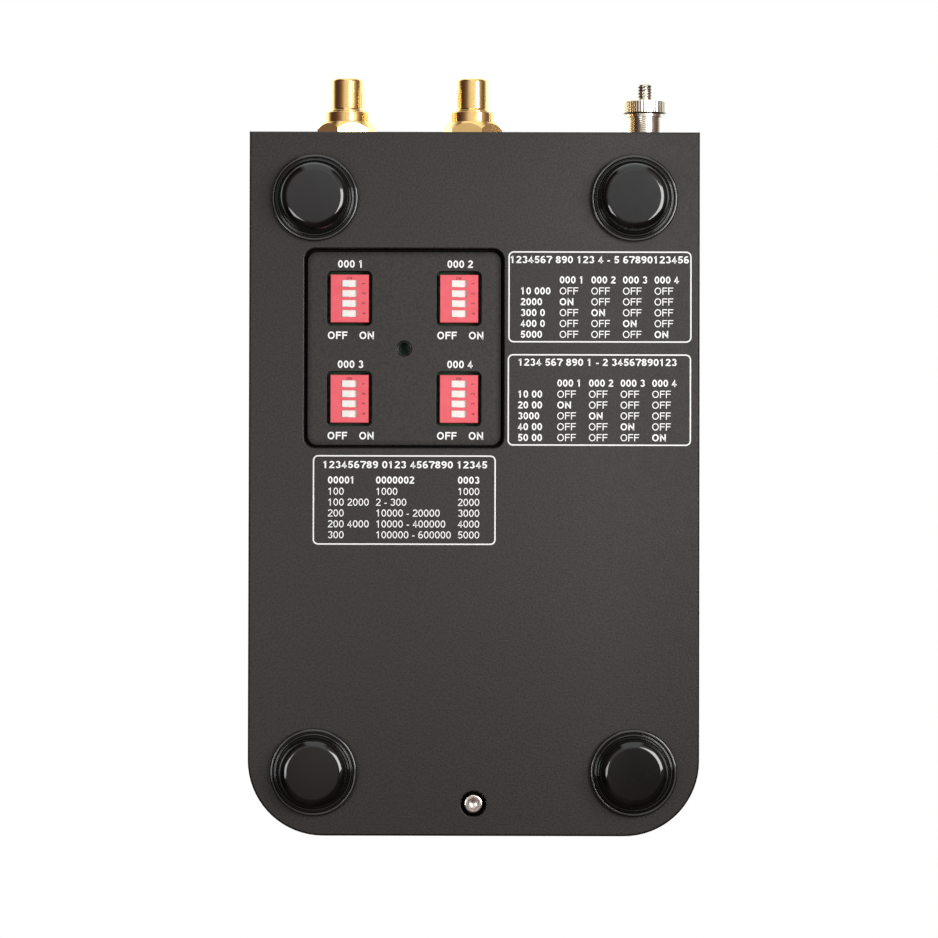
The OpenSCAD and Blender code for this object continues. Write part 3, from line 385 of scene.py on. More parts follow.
def addRibbon(shape, points, width, place):
    # flat band of the given width along a line, closed where its ends meet, as thick as the film
    closed = math.dist(points[0], points[-1]) < 1e-6
    points = points[:-1] if closed else points
    count = len(points)
    sides = []
    for i, (x, y) in enumerate(points):
        before = points[i - 1] if closed or i else points[0]
        after = points[(i + 1) % count] if closed or i < count - 1 else points[-1]
        steps = [Vector((x - before[0], y - before[1])), Vector((after[0] - x, after[1] - y))]
        steps = [step.normalized() for step in steps if step.length > 1e-9]
        along = (steps[0] + steps[-1]).normalized()
        grow = width / 2 / max(along.dot(steps[0]), 0.6)
        across = Vector((-along.y, along.x)) * grow
        sides.append([place @ Vector((x + f * across.x, y + f * across.y, z))
                      for f, z in ((1, 0), (-1, 0), (-1, 1), (1, 1))])
    rings = [[shape.verts.new(corner) for corner in ring] for ring in sides]
    for i in range(count if closed else count - 1):
        a, b = rings[i], rings[(i + 1) % count]
        for j in range(4):
            shape.faces.new((a[j], a[(j + 1) % 4], b[(j + 1) % 4], b[j]))
    if not closed:
        shape.faces.new(rings[0][::-1])
        shape.faces.new(rings[-1])


def fromBelow(u, v, z):
    # u runs to the viewer's right and v towards the rear panel for someone who looks at the underside
    return Matrix.Translation((-u, v, z)) @ Matrix.Rotation(math.pi, 4, "Y")


def addText(shape, text, u, v, z, cap, stroke, width=None, centred=False, turn=0):
    # a line of signs from its left edge, or about its middle, with its capitals centred on v
    wide = sum(glyph(sign, stroke)[0] for sign in text)
    stretch = width / (wide * cap) if width else 1
    place = fromBelow(u, v, z) @ Matrix.Rotation(math.radians(turn), 4, "Z")
    place = place @ Matrix.Translation((-wide * cap * stretch / 2 if centred else 0, -cap / 2, 0))
    place = place @ Matrix.Diagonal((cap * stretch, cap, ink["film"], 1))
    pen = 0
    for sign in text:
        step, strokes = glyph(sign, stroke)
        for points in strokes:
            addRibbon(shape, points, stroke, place @ Matrix.Translation((pen, 0, 0)))
        pen += step


def meshOf(shape, name):
    bmesh.ops.recalc_face_normals(shape, faces=shape.faces)
    mesh = bpy.data.meshes.new(name)
    shape.to_mesh(mesh)
    shape.free()
    return mesh


def textPiece(name, lines, material):
    # one piece from a list of argument sets for addText
    shape = bmesh.new()
    for line in lines:
        addText(shape, **line)
    obj = newPiece(name, meshOf(shape, name), material, "case")
    return obj


def newPiece(name, mesh, material, body):
    mesh.materials.clear()
    mesh.materials.append(material)
    for face in mesh.polygons:
        face.material_index = 0
    obj = bpy.data.objects.new(name, mesh)
    bpy.context.collection.objects.link(obj)
    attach(obj, body)
    return obj


def nodeGroup(name, sizes):
    # a Geometry Nodes tree with named size inputs and one geometry output
    tree = bpy.data.node_groups.new(name, "GeometryNodeTree")
    tree.interface.new_socket("Geometry", in_out="OUTPUT", socket_type="NodeSocketGeometry")
    keys = {}
    for label, kind in sizes.items():
        keys[label] = tree.interface.new_socket(label, in_out="INPUT", socket_type=kind).identifier
    return tree, tree.nodes.new("NodeGroupInput").outputs, keys


def grow(tree, keys, values):
    # runs a tree once with the given sizes and returns the result as a plain mesh
    holder = bpy.data.objects.new("holder", bpy.data.meshes.new("holder"))
    bpy.context.collection.objects.link(holder)
    modifier = holder.modifiers.new("nodes", "NODES")
    modifier.node_group = tree
    for label, value in values.items():
        modifier[keys[label]] = value
    bpy.context.view_layer.update()
    mesh = bpy.data.meshes.new_from_object(holder.evaluated_get(bpy.context.evaluated_depsgraph_get()))
    holder.modifiers.remove(modifier)
    bpy.data.objects.remove(holder)
    return mesh


def finishTree(tree, geometry, material):
    # the tree's last nodes: real geometry with its finish
    real = addNode(tree, "GeometryNodeRealizeInstances", {"Geometry": geometry})
    dressed = addNode(tree, "GeometryNodeSetMaterial", {"Geometry": real, "Material": material})
    addNode(tree, "NodeGroupOutput", {"Geometry": dressed})


def workOut(tree, values, steps):
    # adds the sums of a tree in order: each step names its result, its operation and what goes in
    for result, operation, *terms in steps:
        inputs = {i: values[term] if isinstance(term, str) else term for i, term in enumerate(terms)}
        values[result] = addNode(tree, "ShaderNodeMath", inputs, operation=operation)
    return values


def frameTree():
    # rounded rectangle swept by the printed line's flat section
    tree, given, keys = nodeGroup("printed_frame", {
        "Width": "NodeSocketFloat", "Height": "NodeSocketFloat", "Corner": "NodeSocketFloat",
        "Line": "NodeSocketFloat", "Film": "NodeSocketFloat"})
    outline = addNode(tree, "GeometryNodeCurvePrimitiveQuadrilateral", {
        "Width": given["Width"], "Height": given["Height"]})
    rounded = addNode(tree, "GeometryNodeFilletCurve", {
        "Curve": outline, "Radius": given["Corner"], "Count": 8}, mode="POLY")
    section = addNode(tree, "GeometryNodeCurvePrimitiveQuadrilateral", {
        "Width": given["Line"], "Height": given["Film"]})
    swept = addNode(tree, "GeometryNodeCurveToMesh", {"Curve": rounded, "Profile Curve": section})
    finishTree(tree, swept, screenInk)
    return tree, keys


def gridTree():
    # a grid of words: OFF everywhere, apart from ON one place further along in each row after the first
    tree, given, keys = nodeGroup("switch_setting_grid", {
        "Columns": "NodeSocketInt", "Rows": "NodeSocketInt", "Column Pitch": "NodeSocketFloat",
        "Row Pitch": "NodeSocketFloat", "Off Word": "NodeSocketObject", "On Word": "NodeSocketObject"})
    sums = workOut(tree, dict(given.items()), (
        ("lastColumn", "SUBTRACT", "Columns", 1.0), ("lastRow", "SUBTRACT", "Rows", 1.0),
        ("wide", "MULTIPLY", "lastColumn", "Column Pitch"), ("tall", "MULTIPLY", "lastRow", "Row Pitch")))
    grid = addNode(tree, "GeometryNodeMeshGrid", {
        "Size X": sums["wide"], "Size Y": sums["tall"],
        "Vertices X": given["Columns"], "Vertices Y": given["Rows"]})
    sums["index"] = addNode(tree, "GeometryNodeInputIndex")
    sums = workOut(tree, sums, (
        ("share", "DIVIDE", "index", "Rows"), ("column", "FLOOR", "share"),
        ("before", "MULTIPLY", "column", "Rows"), ("rowUp", "SUBTRACT", "index", "before"),
        ("rowDown", "SUBTRACT", "lastRow", "rowUp"), ("onRow", "ADD", "column", 1.0)))
    isOn = addNode(tree, "FunctionNodeCompare", {0: sums["rowDown"], 1: sums["onRow"], "Epsilon": 0.1},
                   operation="EQUAL", data_type="FLOAT")
    isOff = addNode(tree, "FunctionNodeBooleanMath", {0: isOn}, operation="NOT")
    joined = addNode(tree, "GeometryNodeJoinGeometry")
    for chosen, label in ((isOn, "On Word"), (isOff, "Off Word")):
        word = addNode(tree, "GeometryNodeObjectInfo", {"Object": given[label]})
        placed = addNode(tree, "GeometryNodeInstanceOnPoints", {
            "Points": grid, "Selection": chosen, "Instance": word.outputs["Geometry"]})
        tree.links.new(placed.outputs["Instances"], joined.inputs["Geometry"])
    finishTree(tree, joined, screenInk)
    return tree, keys


# places in millimetres from the middle of the plate, to the viewer's right and towards the rear
tables = {
    "first": {
        "centre": (31.81, 47.36), "size": (46.5, 23.17), "titleY": 9.47, "headY": 4.34, "rowY": 1.52,
        "labelX": -20.2, "columnX": -10.3, "title": "1234567 890 123 4 - 5 67890123456", "titleX": -0.1,
        "titleWide": 45.6, "labels": ("10 000", "2000", "300 0", "400 0", "5000")},
    "second": {
        "centre": (31.7, 21.21), "size": (46.54, 23.25), "titleY": 9.57, "headY": 4.29, "rowY": 1.48,
        "labelX": -20.75, "columnX": -10.75, "title": "1234 567 890 1 - 2 34567890123", "titleX": -0.5,
        "titleWide": 40.4, "labels": ("10 00", "20 00", "3000", "40 00", "50 00")},
}
tableLook = {"columns": 4, "columnPitch": 8.02, "rowPitch": 2.755, "cap": 1.82}
guide = {
    "centre": (-17.7, -4.26), "size": (46.4, 22.72), "titleY": 8.96, "headY": 5.07, "rowY": 2.21,
    "title": "123456789 0123 4567890 12345", "titleX": 0.2, "titleWide": 41.9,
    "columnX": (-19.45, -7.27, 13.5), "heads": ("00001", "0000002", "0003"),
    "rows": (("100", "1000", "1000"), ("100 2000", "2 - 300", "2000"), ("200", "10000 - 20000", "3000"),
             ("200 4000", "10000 - 400000", "4000"), ("300", "100000 - 600000", "5000"))}
pocketPrint = {"numberX": 0.25, "numberY": 8.75, "stateY": -9.4, "offX": -5.65, "onX": 2.4, "cap": 1.92}
coverPrint = {"numberX": 3.55, "onX": -0.1, "onY": 5.15, "cap": 0.88, "onCap": 0.68, "pitch": 2.54}


def wordObject(text, cap, stroke):
    shape = bmesh.new()
    addText(shape, text, 0, 0, 0, cap, stroke)
    mesh = meshOf(shape, text)
    mesh.transform(Matrix.Rotation(math.pi, 4, "Y"))
    obj = bpy.data.objects.new(text, mesh)
    bpy.context.collection.objects.link(obj)
    return obj


def printFrames():
    tree, keys = frameTree()
    shape = bmesh.new()
    for table in (*tables.values(), guide):
        mesh = grow(tree, keys, {
            "Width": table["size"][0] * mm - ink["line"], "Height": table["size"][1] * mm - ink["line"],
            "Corner": ink["corner"], "Line": ink["line"], "Film": 2 * ink["film"]})
        mesh.transform(fromBelow(table["centre"][0] * mm, plateMidY + table["centre"][1] * mm, plateZ))
        shape.from_mesh(mesh)
        bpy.data.meshes.remove(mesh)
    obj = newPiece("table_frames", meshOf(shape, "table_frames"), screenInk, "case")


def printGrids():
    tree, keys = gridTree()
    cap = tableLook["cap"] * mm
    words = {"Off Word": wordObject("OFF", cap, ink["thin"]), "On Word": wordObject("ON", cap, ink["bold"])}
    shape = bmesh.new()
    for table in tables.values():
        rows = len(table["labels"])
        grid = grow(tree, keys, {
            "Columns": tableLook["columns"], "Rows": rows, "Column Pitch": tableLook["columnPitch"] * mm,
            "Row Pitch": tableLook["rowPitch"] * mm, **words})
        u = table["centre"][0] + table["columnX"] + (tableLook["columns"] - 1) / 2 * tableLook["columnPitch"]
        v = table["centre"][1] + table["rowY"] - (rows - 1) / 2 * tableLook["rowPitch"]
        grid.transform(fromBelow(u * mm, plateMidY + v * mm, plateZ))
        shape.from_mesh(grid)
        bpy.data.meshes.remove(grid)
    for word in words.values():
        bpy.data.objects.remove(word)
    obj = newPiece("switch_setting_words", meshOf(shape, "switch_setting_words"), screenInk, "case")


def tableLines():
    lines = []

    def line(table, text, u, v, bold=True, **more):
        lines.append({
            "text": text, "u": (table["centre"][0] + u) * mm, "v": plateMidY + (table["centre"][1] + v) * mm,
            "z": plateZ, "cap": tableLook["cap"] * mm, "stroke": ink["bold" if bold else "thin"], **more})

    for table in (*tables.values(), guide):
        line(table, table["title"], table["titleX"], table["titleY"],
             width=table["titleWide"] * mm, centred=True)
    for table in tables.values():
        for i in range(tableLook["columns"]):
            line(table, f"000 {i + 1}", table["columnX"] + i * tableLook["columnPitch"], table["headY"])
        for i, label in enumerate(table["labels"]):
            line(table, label, table["labelX"], table["rowY"] - i * tableLook["rowPitch"])
    for column, head in zip(guide["columnX"], guide["heads"]):
        line(guide, head, column, guide["headY"])
    for i, row in enumerate(guide["rows"]):
        for column, text in zip(guide["columnX"], row):
            line(guide, text, column, guide["rowY"] - i * tableLook["rowPitch"], False)
    return lines


def pocketLines():
    lines = []
    for n, box in coverBox.items():
        x, v, _ = middleOf(box)
        u = -x
        look = {"z": plateZ + ink["pocketDepth"], "cap": pocketPrint["cap"] * mm, "stroke": ink["bold"]}
        lines.append({"text": f"000 {n}", "u": u + pocketPrint["numberX"] * mm,
                      "v": v + pocketPrint["numberY"] * mm, "centred": True, **look})
        for text, key in (("OFF", "offX"), ("ON", "onX")):
            lines.append({"text": text, "u": u + pocketPrint[key] * mm,
                          "v": v + pocketPrint["stateY"] * mm, **look})
    return lines


def coverLines():
    lines = []
    for box in coverBox.values():
        x, v, _ = middleOf(box)
        u = -x
        look = {"z": coverZ, "cap": coverPrint["cap"] * mm, "stroke": ink["bold"], "centred": True}
        for k in range(4):
            lines.append({"text": str(k + 1), "u": u + coverPrint["numberX"] * mm,
                          "v": v + (1.5 - k) * coverPrint["pitch"] * mm, "turn": 90, **look})
        lines.append({"text": "ON", "u": u + coverPrint["onX"] * mm, "v": v + coverPrint["onY"] * mm,
                      **look, "cap": coverPrint["onCap"] * mm})
    return lines


printFrames()
printGrids()
textPiece("table_numbers", tableLines(), screenInk)
textPiece("pocket_words", pocketLines(), screenInk)
textPiece("cover_numbers", coverLines(), coverInk)
print("plate printed")


# ---- thread of the ground stud

studThread = {"pitch": 0.794 * mm, "depth": 0.15 * mm, "chamfer": 0.4 * mm, "around": 48, "perTurn": 10}


def threadTree():
    # a closed rod whose radius rises and falls with height and angle, so that one ridge climbs round it
    tree, given, keys = nodeGroup("rolled_thread", {
        "Radius": "NodeSocketFloat", "Length": "NodeSocketFloat", "Pitch": "NodeSocketFloat",
        "Depth": "NodeSocketFloat", "Chamfer": "NodeSocketFloat", "Around": "NodeSocketInt",
        "Per Turn": "NodeSocketInt"})
    sums = workOut(tree, dict(given.items()), (
        ("turns", "DIVIDE", "Length", "Pitch"), ("steps", "MULTIPLY", "turns", "Per Turn"),
        ("rings", "CEIL", "steps")))
    rod = addNode(tree, "GeometryNodeMeshCylinder", {
        "Vertices": given["Around"], "Side Segments": sums["rings"], "Radius": given["Radius"],
        "Depth": given["Length"]}, fill_type="NGON")
    point = addNode(tree, "ShaderNodeSeparateXYZ", {0: addNode(tree, "GeometryNodeInputPosition")}).outputs
    sums.update(x=point["X"], y=point["Y"], z=point["Z"])
    sums = workOut(tree, sums, (
        ("turned", "ARCTAN2", "y", "x"), ("angle", "DIVIDE", "turned", math.tau),
        ("climb", "DIVIDE", "z", "Pitch"), ("lag", "SUBTRACT", "climb", "angle"), ("phase", "FRACT", "lag"),
        ("offCrest", "SUBTRACT", "phase", 0.5), ("side", "ABSOLUTE", "offCrest"),
        ("valley", "MULTIPLY", "side", 2.0), ("cut", "MULTIPLY", "valley", "Depth"),
        ("half", "DIVIDE", "Length", 2.0), ("height", "ABSOLUTE", "z"),
        ("fromEnd", "SUBTRACT", "half", "height"), ("short", "SUBTRACT", "Chamfer", "fromEnd"),
        ("ending", "MAXIMUM", "short", 0.0),
        ("sunk", "MAXIMUM", "cut", "ending"), ("left", "SUBTRACT", "Radius", "sunk"),
        ("scale", "DIVIDE", "left", "Radius"), ("newX", "MULTIPLY", "x", "scale"),
        ("newY", "MULTIPLY", "y", "scale")))
    moved = addNode(tree, "ShaderNodeCombineXYZ", {"X": sums["newX"], "Y": sums["newY"], "Z": point["Z"]})
    shaped = addNode(tree, "GeometryNodeSetPosition", {"Geometry": rod, "Position": moved})
    finishTree(tree, shaped, slotFinish["nickel"])
    return tree, keys


def cutStud():
    tree, keys = threadTree()
    low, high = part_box("ground_stud")
    mesh = grow(tree, keys, {
        "Radius": (high[0] - low[0]) / 2, "Length": high[1] - low[1], "Pitch": studThread["pitch"],
        "Depth": studThread["depth"], "Chamfer": studThread["chamfer"], "Around": studThread["around"],
        "Per Turn": studThread["perTurn"]})
    mesh.transform(Matrix.Translation(middleOf((low, high))) @ Matrix.Rotation(-math.pi / 2, 4, "X"))
    stud = newPiece("threaded_stud", mesh, slotFinish["nickel"], "case")
    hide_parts("ground_stud")


cutStud()
print("stud threaded")


# ---- turned and moulded rounds: feet, thumb nut and the barrel of the ground post

def revolved(name, profile, around, place, ridges=None):
    # closed outline of (radius, height) points in millimetres swept round the z axis of the place, with
    # a third value for the points that follow a hexagon; ridges are the count, the depth and the least
    # radius of teeth round the outer wall
    shape = bmesh.new()
    profile = [(r * mm, z * mm, *hexagon) for r, z, *hexagon in profile]
    teeth, toothDepth, least = ridges or (0, 0, 0)
    crest, flank = 0.45, 0.4  # of half a tooth
    rings = []
    for i in range(around):
        angle = math.tau * i / around
        phase = abs((i * teeth / around) % 1 - 0.5) * 2
        cut = toothDepth * mm * min(max((phase - crest) / flank, 0), 1)
        ring = []
        for r, z, *hexagon in profile:
            r -= cut if teeth and r > least * mm else 0
            r /= math.cos((angle + math.pi / 6) % (math.pi / 3) - math.pi / 6) if hexagon else 1
            ring.append(shape.verts.new(place @ Vector((r * math.cos(angle), r * math.sin(angle), z))))
        rings.append(ring)
    count = len(profile)
    for i in range(around):
        a, b = rings[i], rings[(i + 1) % around]
        for j in range(count):
            shape.faces.new((a[j], a[(j + 1) % count], b[(j + 1) % count], b[j]))
    bmesh.ops.remove_doubles(shape, verts=shape.verts, dist=1e-6)
    bmesh.ops.dissolve_degenerate(shape, edges=shape.edges, dist=1e-7)
    return meshOf(shape, name)


def turnedPiece(name, profile, around, place, slot, body="case", sharpest=40, ridges=None, material=None):
    # smooth on its curves, with the real corners kept
    mesh = revolved(name, profile, around, place, ridges)
    piece = newPiece(name, mesh, material or slotFinish[slot], body)
    piece.data.shade_smooth()
    piece.data.set_sharp_from_angle(angle=math.radians(sharpest))
    return piece


# sizes in millimetres; heights from the floor
footShape = {
    "flange": 11.05, "flangeTop": 8.0, "flangeLow": 7.0, "rim": 0.5, "groove": (9.98, 7.05),
    "grooveHalf": 0.06, "ring": (9.5, 6.35), "ringRound": 0.2, "neck": (8.95, 5.6), "wall": 8.6,
    "wallFoot": 4.4, "tipRound": 2.2, "edge": 0.12,
    "rimHighlight": (0.32, 1.0), "ringHighlight": (0.16, 0.5),  # how far and how strongly
}


def footProfile():
    s = footShape
    rim = (s["flange"] - s["rim"], s["flangeLow"])
    points = [(0, s["flangeTop"]), (s["flange"] - s["edge"], s["flangeTop"]),
              (s["flange"], s["flangeTop"] - s["edge"])]
    points += bow(*rim, s["rim"], s["rim"], 0, -130, 10)
    points += [(s["groove"][0] + side * s["grooveHalf"], s["groove"][1]) for side in (1, -1)]
    points += bow(*s["ring"], s["ringRound"], s["ringRound"], 20, -150, 12)
    points += [s["neck"], (s["wall"] + s["edge"], s["wallFoot"]), (s["wall"] + 0.02, s["tipRound"] + 0.3)]
    points += bow(s["wall"] - s["tipRound"], s["tipRound"], s["tipRound"], s["tipRound"], 0, -90, 24)
    return points + [(0, 0)]


def paintRidgeHighlights(foot, centre):
    # how far the rim and the ring get the painted grey highlight, one number for each point of the mesh
    s = footShape
    ridges = ((s["flange"] - s["rim"], s["flangeLow"] - s["rim"], *s["rimHighlight"]),
              (s["ring"][0], s["ring"][1] - s["ringRound"], *s["ringHighlight"]))
    paintedHighlight = foot.data.attributes.new("paintedHighlight", "FLOAT", "POINT")
    for point, value in zip(foot.data.vertices, paintedHighlight.data):
        r = (point.co.xy - centre.xy).length / mm
        z = point.co.z / mm
        value.value = max(most * max(1 - math.hypot(r - at, z - top) / reach, 0) ** 0.5
                          for at, top, reach, most in ridges)


def mouldFeet():
    for n in (1, 2, 3, 4):
        x, y, _ = middleOf(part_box(f"foot_{n}"))
        place = Matrix.Translation((x, y, 0))
        foot = turnedPiece(f"moulded_foot_{n}", footProfile(), 160, place, "foot_rubber")
        paintRidgeHighlights(foot, place.translation)
        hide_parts(f"foot_{n}")


nutShape = {"bore": 2.2, "lowChamfer": 0.35, "topCone": (1.7, 0.5), "edge": 0.12,
            "ridges": 48, "ridgeDepth": 0.055, "ridgeBand": 0.3}
postShape = {"bore": 2.2, "rib": 0.55, "ribDepth": 0.035}


def alongRear(low, high):
    # turns the z axis towards the rear, from the face of the node nearest the panel
    x, _, z = middleOf((low, high))
    return Matrix.Translation((x, low[1], z)) @ Matrix.Rotation(-math.pi / 2, 4, "X")


def turnNut():
    low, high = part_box("ground_nut")
    r, t, s = (high[0] - low[0]) / 2 / mm, (high[1] - low[1]) / mm, nutShape
    cone, rise = s["topCone"]
    profile = [(s["bore"], 0), (r - s["lowChamfer"], 0), (r, s["lowChamfer"]), (r, t - rise - s["edge"]),
               (r - s["edge"], t - rise), (r - cone, t), (s["bore"], t)]
    ridges = (s["ridges"], s["ridgeDepth"], r - s["ridgeBand"])
    nut = turnedPiece("knurled_nut", profile, s["ridges"] * 10, alongRear(low, high), "nickel",
                      "ground_nut", 30, ridges)
    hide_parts("ground_nut")


def turnPost():
    low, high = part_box("ground_post")
    r, t, s = (high[0] - low[0]) / 2 / mm, (high[1] - low[1]) / mm, postShape
    steps = int(t / s["rib"]) * 8
    outer = []
    for i in range(steps + 1):
        along = t * i / steps
        swell = (1 - math.cos(math.tau * along / s["rib"])) / 2
        outer.append((r - s["ribDepth"] * (1 - swell), along))
    profile = [(s["bore"], 0), *outer, (s["bore"], t)]
    post = turnedPiece("ribbed_post", profile, 96, alongRear(low, high), "nickel")
    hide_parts("ground_post")


# the cap screw of the plate, and the broken edge of the access hole, in millimetres
screwShape = {"edge": 0.5, "head": 2.84, "thread": 1.42, "socket": 1.19, "socketDeep": 1.5,
              "drillPoint": 0.3, "lead": 0.16, "proud": 0.02}
holeShape = {"outer": 1.8, "inner": 1.56, "proud": 0.02, "slope": 0.1, "deep": 1.2}


def turnScrew():
    low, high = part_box("plate_screw")
    r, t, s = (high[0] - low[0]) / 2 / mm, (high[2] - low[2]) / mm, screwShape
    deep, wide = s["socketDeep"], s["socket"]
    profile = [(0, deep + s["drillPoint"]), (wide * 0.6, deep), (wide, deep, True), (wide, s["lead"], True),
               (wide + s["lead"], s["proud"], True)]
    profile += bow(r - s["edge"], s["edge"], s["edge"], s["edge"], -90, 0, 12)
    profile += [(r, s["head"]), (s["thread"], s["head"]), (s["thread"], t), (0, t)]
    x, y, _ = middleOf((low, high))
    place = Matrix.Translation((x, y, low[2]))
    screw = turnedPiece("socket_screw", profile, 96, place, "stainless", sharpest=35)
    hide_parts("plate_screw")


def breakHole():
    s = holeShape
    profile = [(s["outer"], s["proud"]), (s["inner"], s["slope"]), (s["inner"], s["deep"]),
               (s["outer"], s["deep"])]
    x, y = (sum(low[i] + high[i] for low, high in coverBox.values()) / 8 for i in (0, 1))
    place = Matrix.Translation((x, y, plateZ + ink["pocketDepth"]))
    turnedPiece("hole_edge", profile, 64, place, "black_plate", sharpest=30, material=caseAluminium)


mouldFeet()
turnNut()
turnPost()
turnScrew()
breakHole()
print("feet, ground post and screw made")


# ---- camera

shot = {
    "distance": 1.2,  # from the plate, in metres
    "perMetre": 3945.7,  # pixels on the plate for a metre
    "picture": 938,  # pixels across the picture
    "film": 36,  # width of the sensor in millimetres
    "clip": (0.05, 10),
    "aim": (1.29 * mm, plateMidY + 3.65 * mm),
    "roll": 0.13,  # degrees
    "lean": 1.1,  # degrees that brings the front edge nearer
}


def placeCamera():
    data = bpy.data.cameras.new("camera")
    data.sensor_width = shot["film"]
    data.lens = data.sensor_width * shot["distance"] * shot["perMetre"] / shot["picture"]
    data.clip_start, data.clip_end = shot["clip"]
    camera = bpy.data.objects.new("camera", data)
    bpy.context.collection.objects.link(camera)
    facing = Matrix(((-1, 0, 0), (0, 1, 0), (0, 0, -1))).to_4x4()
    lean = Matrix.Rotation(math.radians(shot["lean"]), 4, "X")
    roll = Matrix.Rotation(math.radians(shot["roll"]), 4, "Z")
    aim = Matrix.Translation((*shot["aim"], plateZ))
    camera.matrix_world = aim @ facing @ lean @ Matrix.Translation((0, 0, shot["distance"])) @ roll
    bpy.context.scene.camera = camera


placeCamera()


# ---- floor, lamps and the surroundings

def stagePiece(name, corners, faces, material, glossyOnly=False):
    mesh = bpy.data.meshes.new(name)
    mesh.from_pydata(corners, [], faces)
    mesh.materials.append(material)
    obj = bpy.data.objects.new(name, mesh)
    bpy.context.collection.objects.link(obj)
    unseen = ["diffuse", "transmission", "shadow", "volume_scatter", "camera" if glossyOnly else "glossy"]
    for ray in unseen:
        setattr(obj, "visible_" + ray, False)
    return obj


def floorPaper():
    # pale paper that shows from above only, so that the underside can be seen through it
    material, tree, shader, coords = newMaterial("floor_paper", Roughness=0.9)
    addMottle(tree, shader, coords, "#f6f6f6", "#fafafa", 0.2)
    clear = addNode(tree, "ShaderNodeBsdfTransparent")
    back = addNode(tree, "ShaderNodeNewGeometry").outputs["Backfacing"]
    mixed = addNode(tree, "ShaderNodeMixShader", {0: back, 1: shader, 2: clear})
    tree.links.new(mixed.outputs[0], tree.nodes["Material Output"].inputs["Surface"])
    return material


# brightness of the tent's cloth by the angle from the camera's side, seen from the middle of the plate
tent = {
    "radius": 0.6,
    "left": ((0, 0.85), (9, 0.7), (17, 0.8), (24, 0.75), (32, 0.5), (40, 0.28), (48, 0.17),
             (57, 0.11), (65, 0.08), (86, 0.06), (97, 0.2), (104, 0.7), (112, 1.1), (120, 1.5)),
    "right": ((0, 0.85), (8, 0.8), (16, 0.92), (50, 0.65), (62, 0.4), (71, 0.24), (80, 0.17),
              (93, 0.16), (104, 0.6), (114, 1.2), (120, 1.5)),
    "front": ((0, 0.78), (8, 0.55), (14, 0.3), (22, 0.18), (36, 0.14), (50, 0.12), (65, 0.1),
              (82, 0.07), (100, 0.04)),
    "rear": ((0, 0.85), (9, 0.8), (20, 1.15), (90, 1.15), (110, 1.4)),
    "sideBlend": (-0.06, 0.06), "rearGap": (27, 20), "frontFrom": (118, 142), "warmth": 1.2,
    "dim": (-0.3, 0.22, 0.1, 1.12),  # from front to rear, the share of that light
    "lean": (-0.1, 0.1, 1.15, 0.52),  # the same for the front's light, from left to right
}


def clothRamp(tree, share, stops):
    # grey levels, warmer where dark, against the share of a half turn
    ramp = addNode(tree, "ShaderNodeValToRGB", {"Fac": share})
    elements = ramp.color_ramp.elements
    greys = [(level, level ** tent["warmth"], level ** tent["warmth"], 1) for angle, level in stops]
    elements[0].color, elements[1].color = greys[0], greys[-1]
    for (angle, level), grey in zip(stops[1:], greys[1:]):
        elements.new(angle / 180).color = grey
    return ramp


def tentCloth():
    # cloth that only the polished parts see: dark at the sides and the front, open to white at the rear
    material = bpy.data.materials.new("tent_cloth")
    material.use_nodes = True
    tree = material.node_tree
    tree.nodes.clear()
    coords = addNode(tree, "ShaderNodeTexCoord").outputs["Object"]
    middle = addNode(tree, "ShaderNodeVectorMath", {0: coords, 1: (0, plateMidY, plateZ)},
                     operation="SUBTRACT")
    outward = addNode(tree, "ShaderNodeVectorMath", {0: middle}, operation="NORMALIZE")
    axes = addNode(tree, "ShaderNodeSeparateXYZ", {0: outward}).outputs
    sums = workOut(tree, {"x": axes["X"], "y": axes["Y"], "z": axes["Z"]}, (
        ("down", "MULTIPLY", "z", -1.0), ("tilt", "ARCCOSINE", "down"),
        ("fromAxis", "DIVIDE", "tilt", math.pi), ("toRight", "MULTIPLY", "x", -1.0),
        ("turn", "ARCTAN2", "toRight", "y"),
        ("apart", "ABSOLUTE", "turn"), ("bearing", "DIVIDE", "apart", math.pi)))
    front, rear = ([angle / 180 for angle in tent[key]] for key in ("frontFrom", "rearGap"))
    fades = []
    for value, (low, high, atLow, atHigh) in (
            ("toRight", (*tent["sideBlend"], 0, 1)), ("y", tent["dim"]), ("toRight", tent["lean"]),
            ("bearing", (*front, 0, 1)), ("bearing", (*rear, 0, 1))):
        fades.append(addNode(tree, "ShaderNodeMapRange", {
            "Value": sums[value], "From Min": low, "From Max": high, "To Min": atLow, "To Max": atHigh}))
    toSide, dim, lean, toFront, toRear = fades
    left, right, front, rear = [
        clothRamp(tree, sums["fromAxis"], tent[side]) for side in ("left", "right", "front", "rear")]
    front = addNode(tree, "ShaderNodeMix", {0: 1.0, 6: front, 7: lean},
                    data_type="RGBA", blend_type="MULTIPLY").outputs[2]
    level = left
    for share, over, how in ((toSide, right, "MIX"), (1.0, dim, "MULTIPLY"), (toFront, front, "MIX"),
                             (toRear, rear, "MIX")):
        level = addNode(tree, "ShaderNodeMix", {0: share, 6: level, 7: over},
                        data_type="RGBA", blend_type=how).outputs[2]
    glow = addNode(tree, "ShaderNodeEmission", {"Color": level})
    addNode(tree, "ShaderNodeOutputMaterial", {"Surface": glow})
    return material


# a card close below the sockets and the post; millimetres to the viewer's right and past the rear edge
card = {"across": (3, 31), "past": (0, 24), "below": 36, "level": (0.75, 0.95), "grain": 60.0}


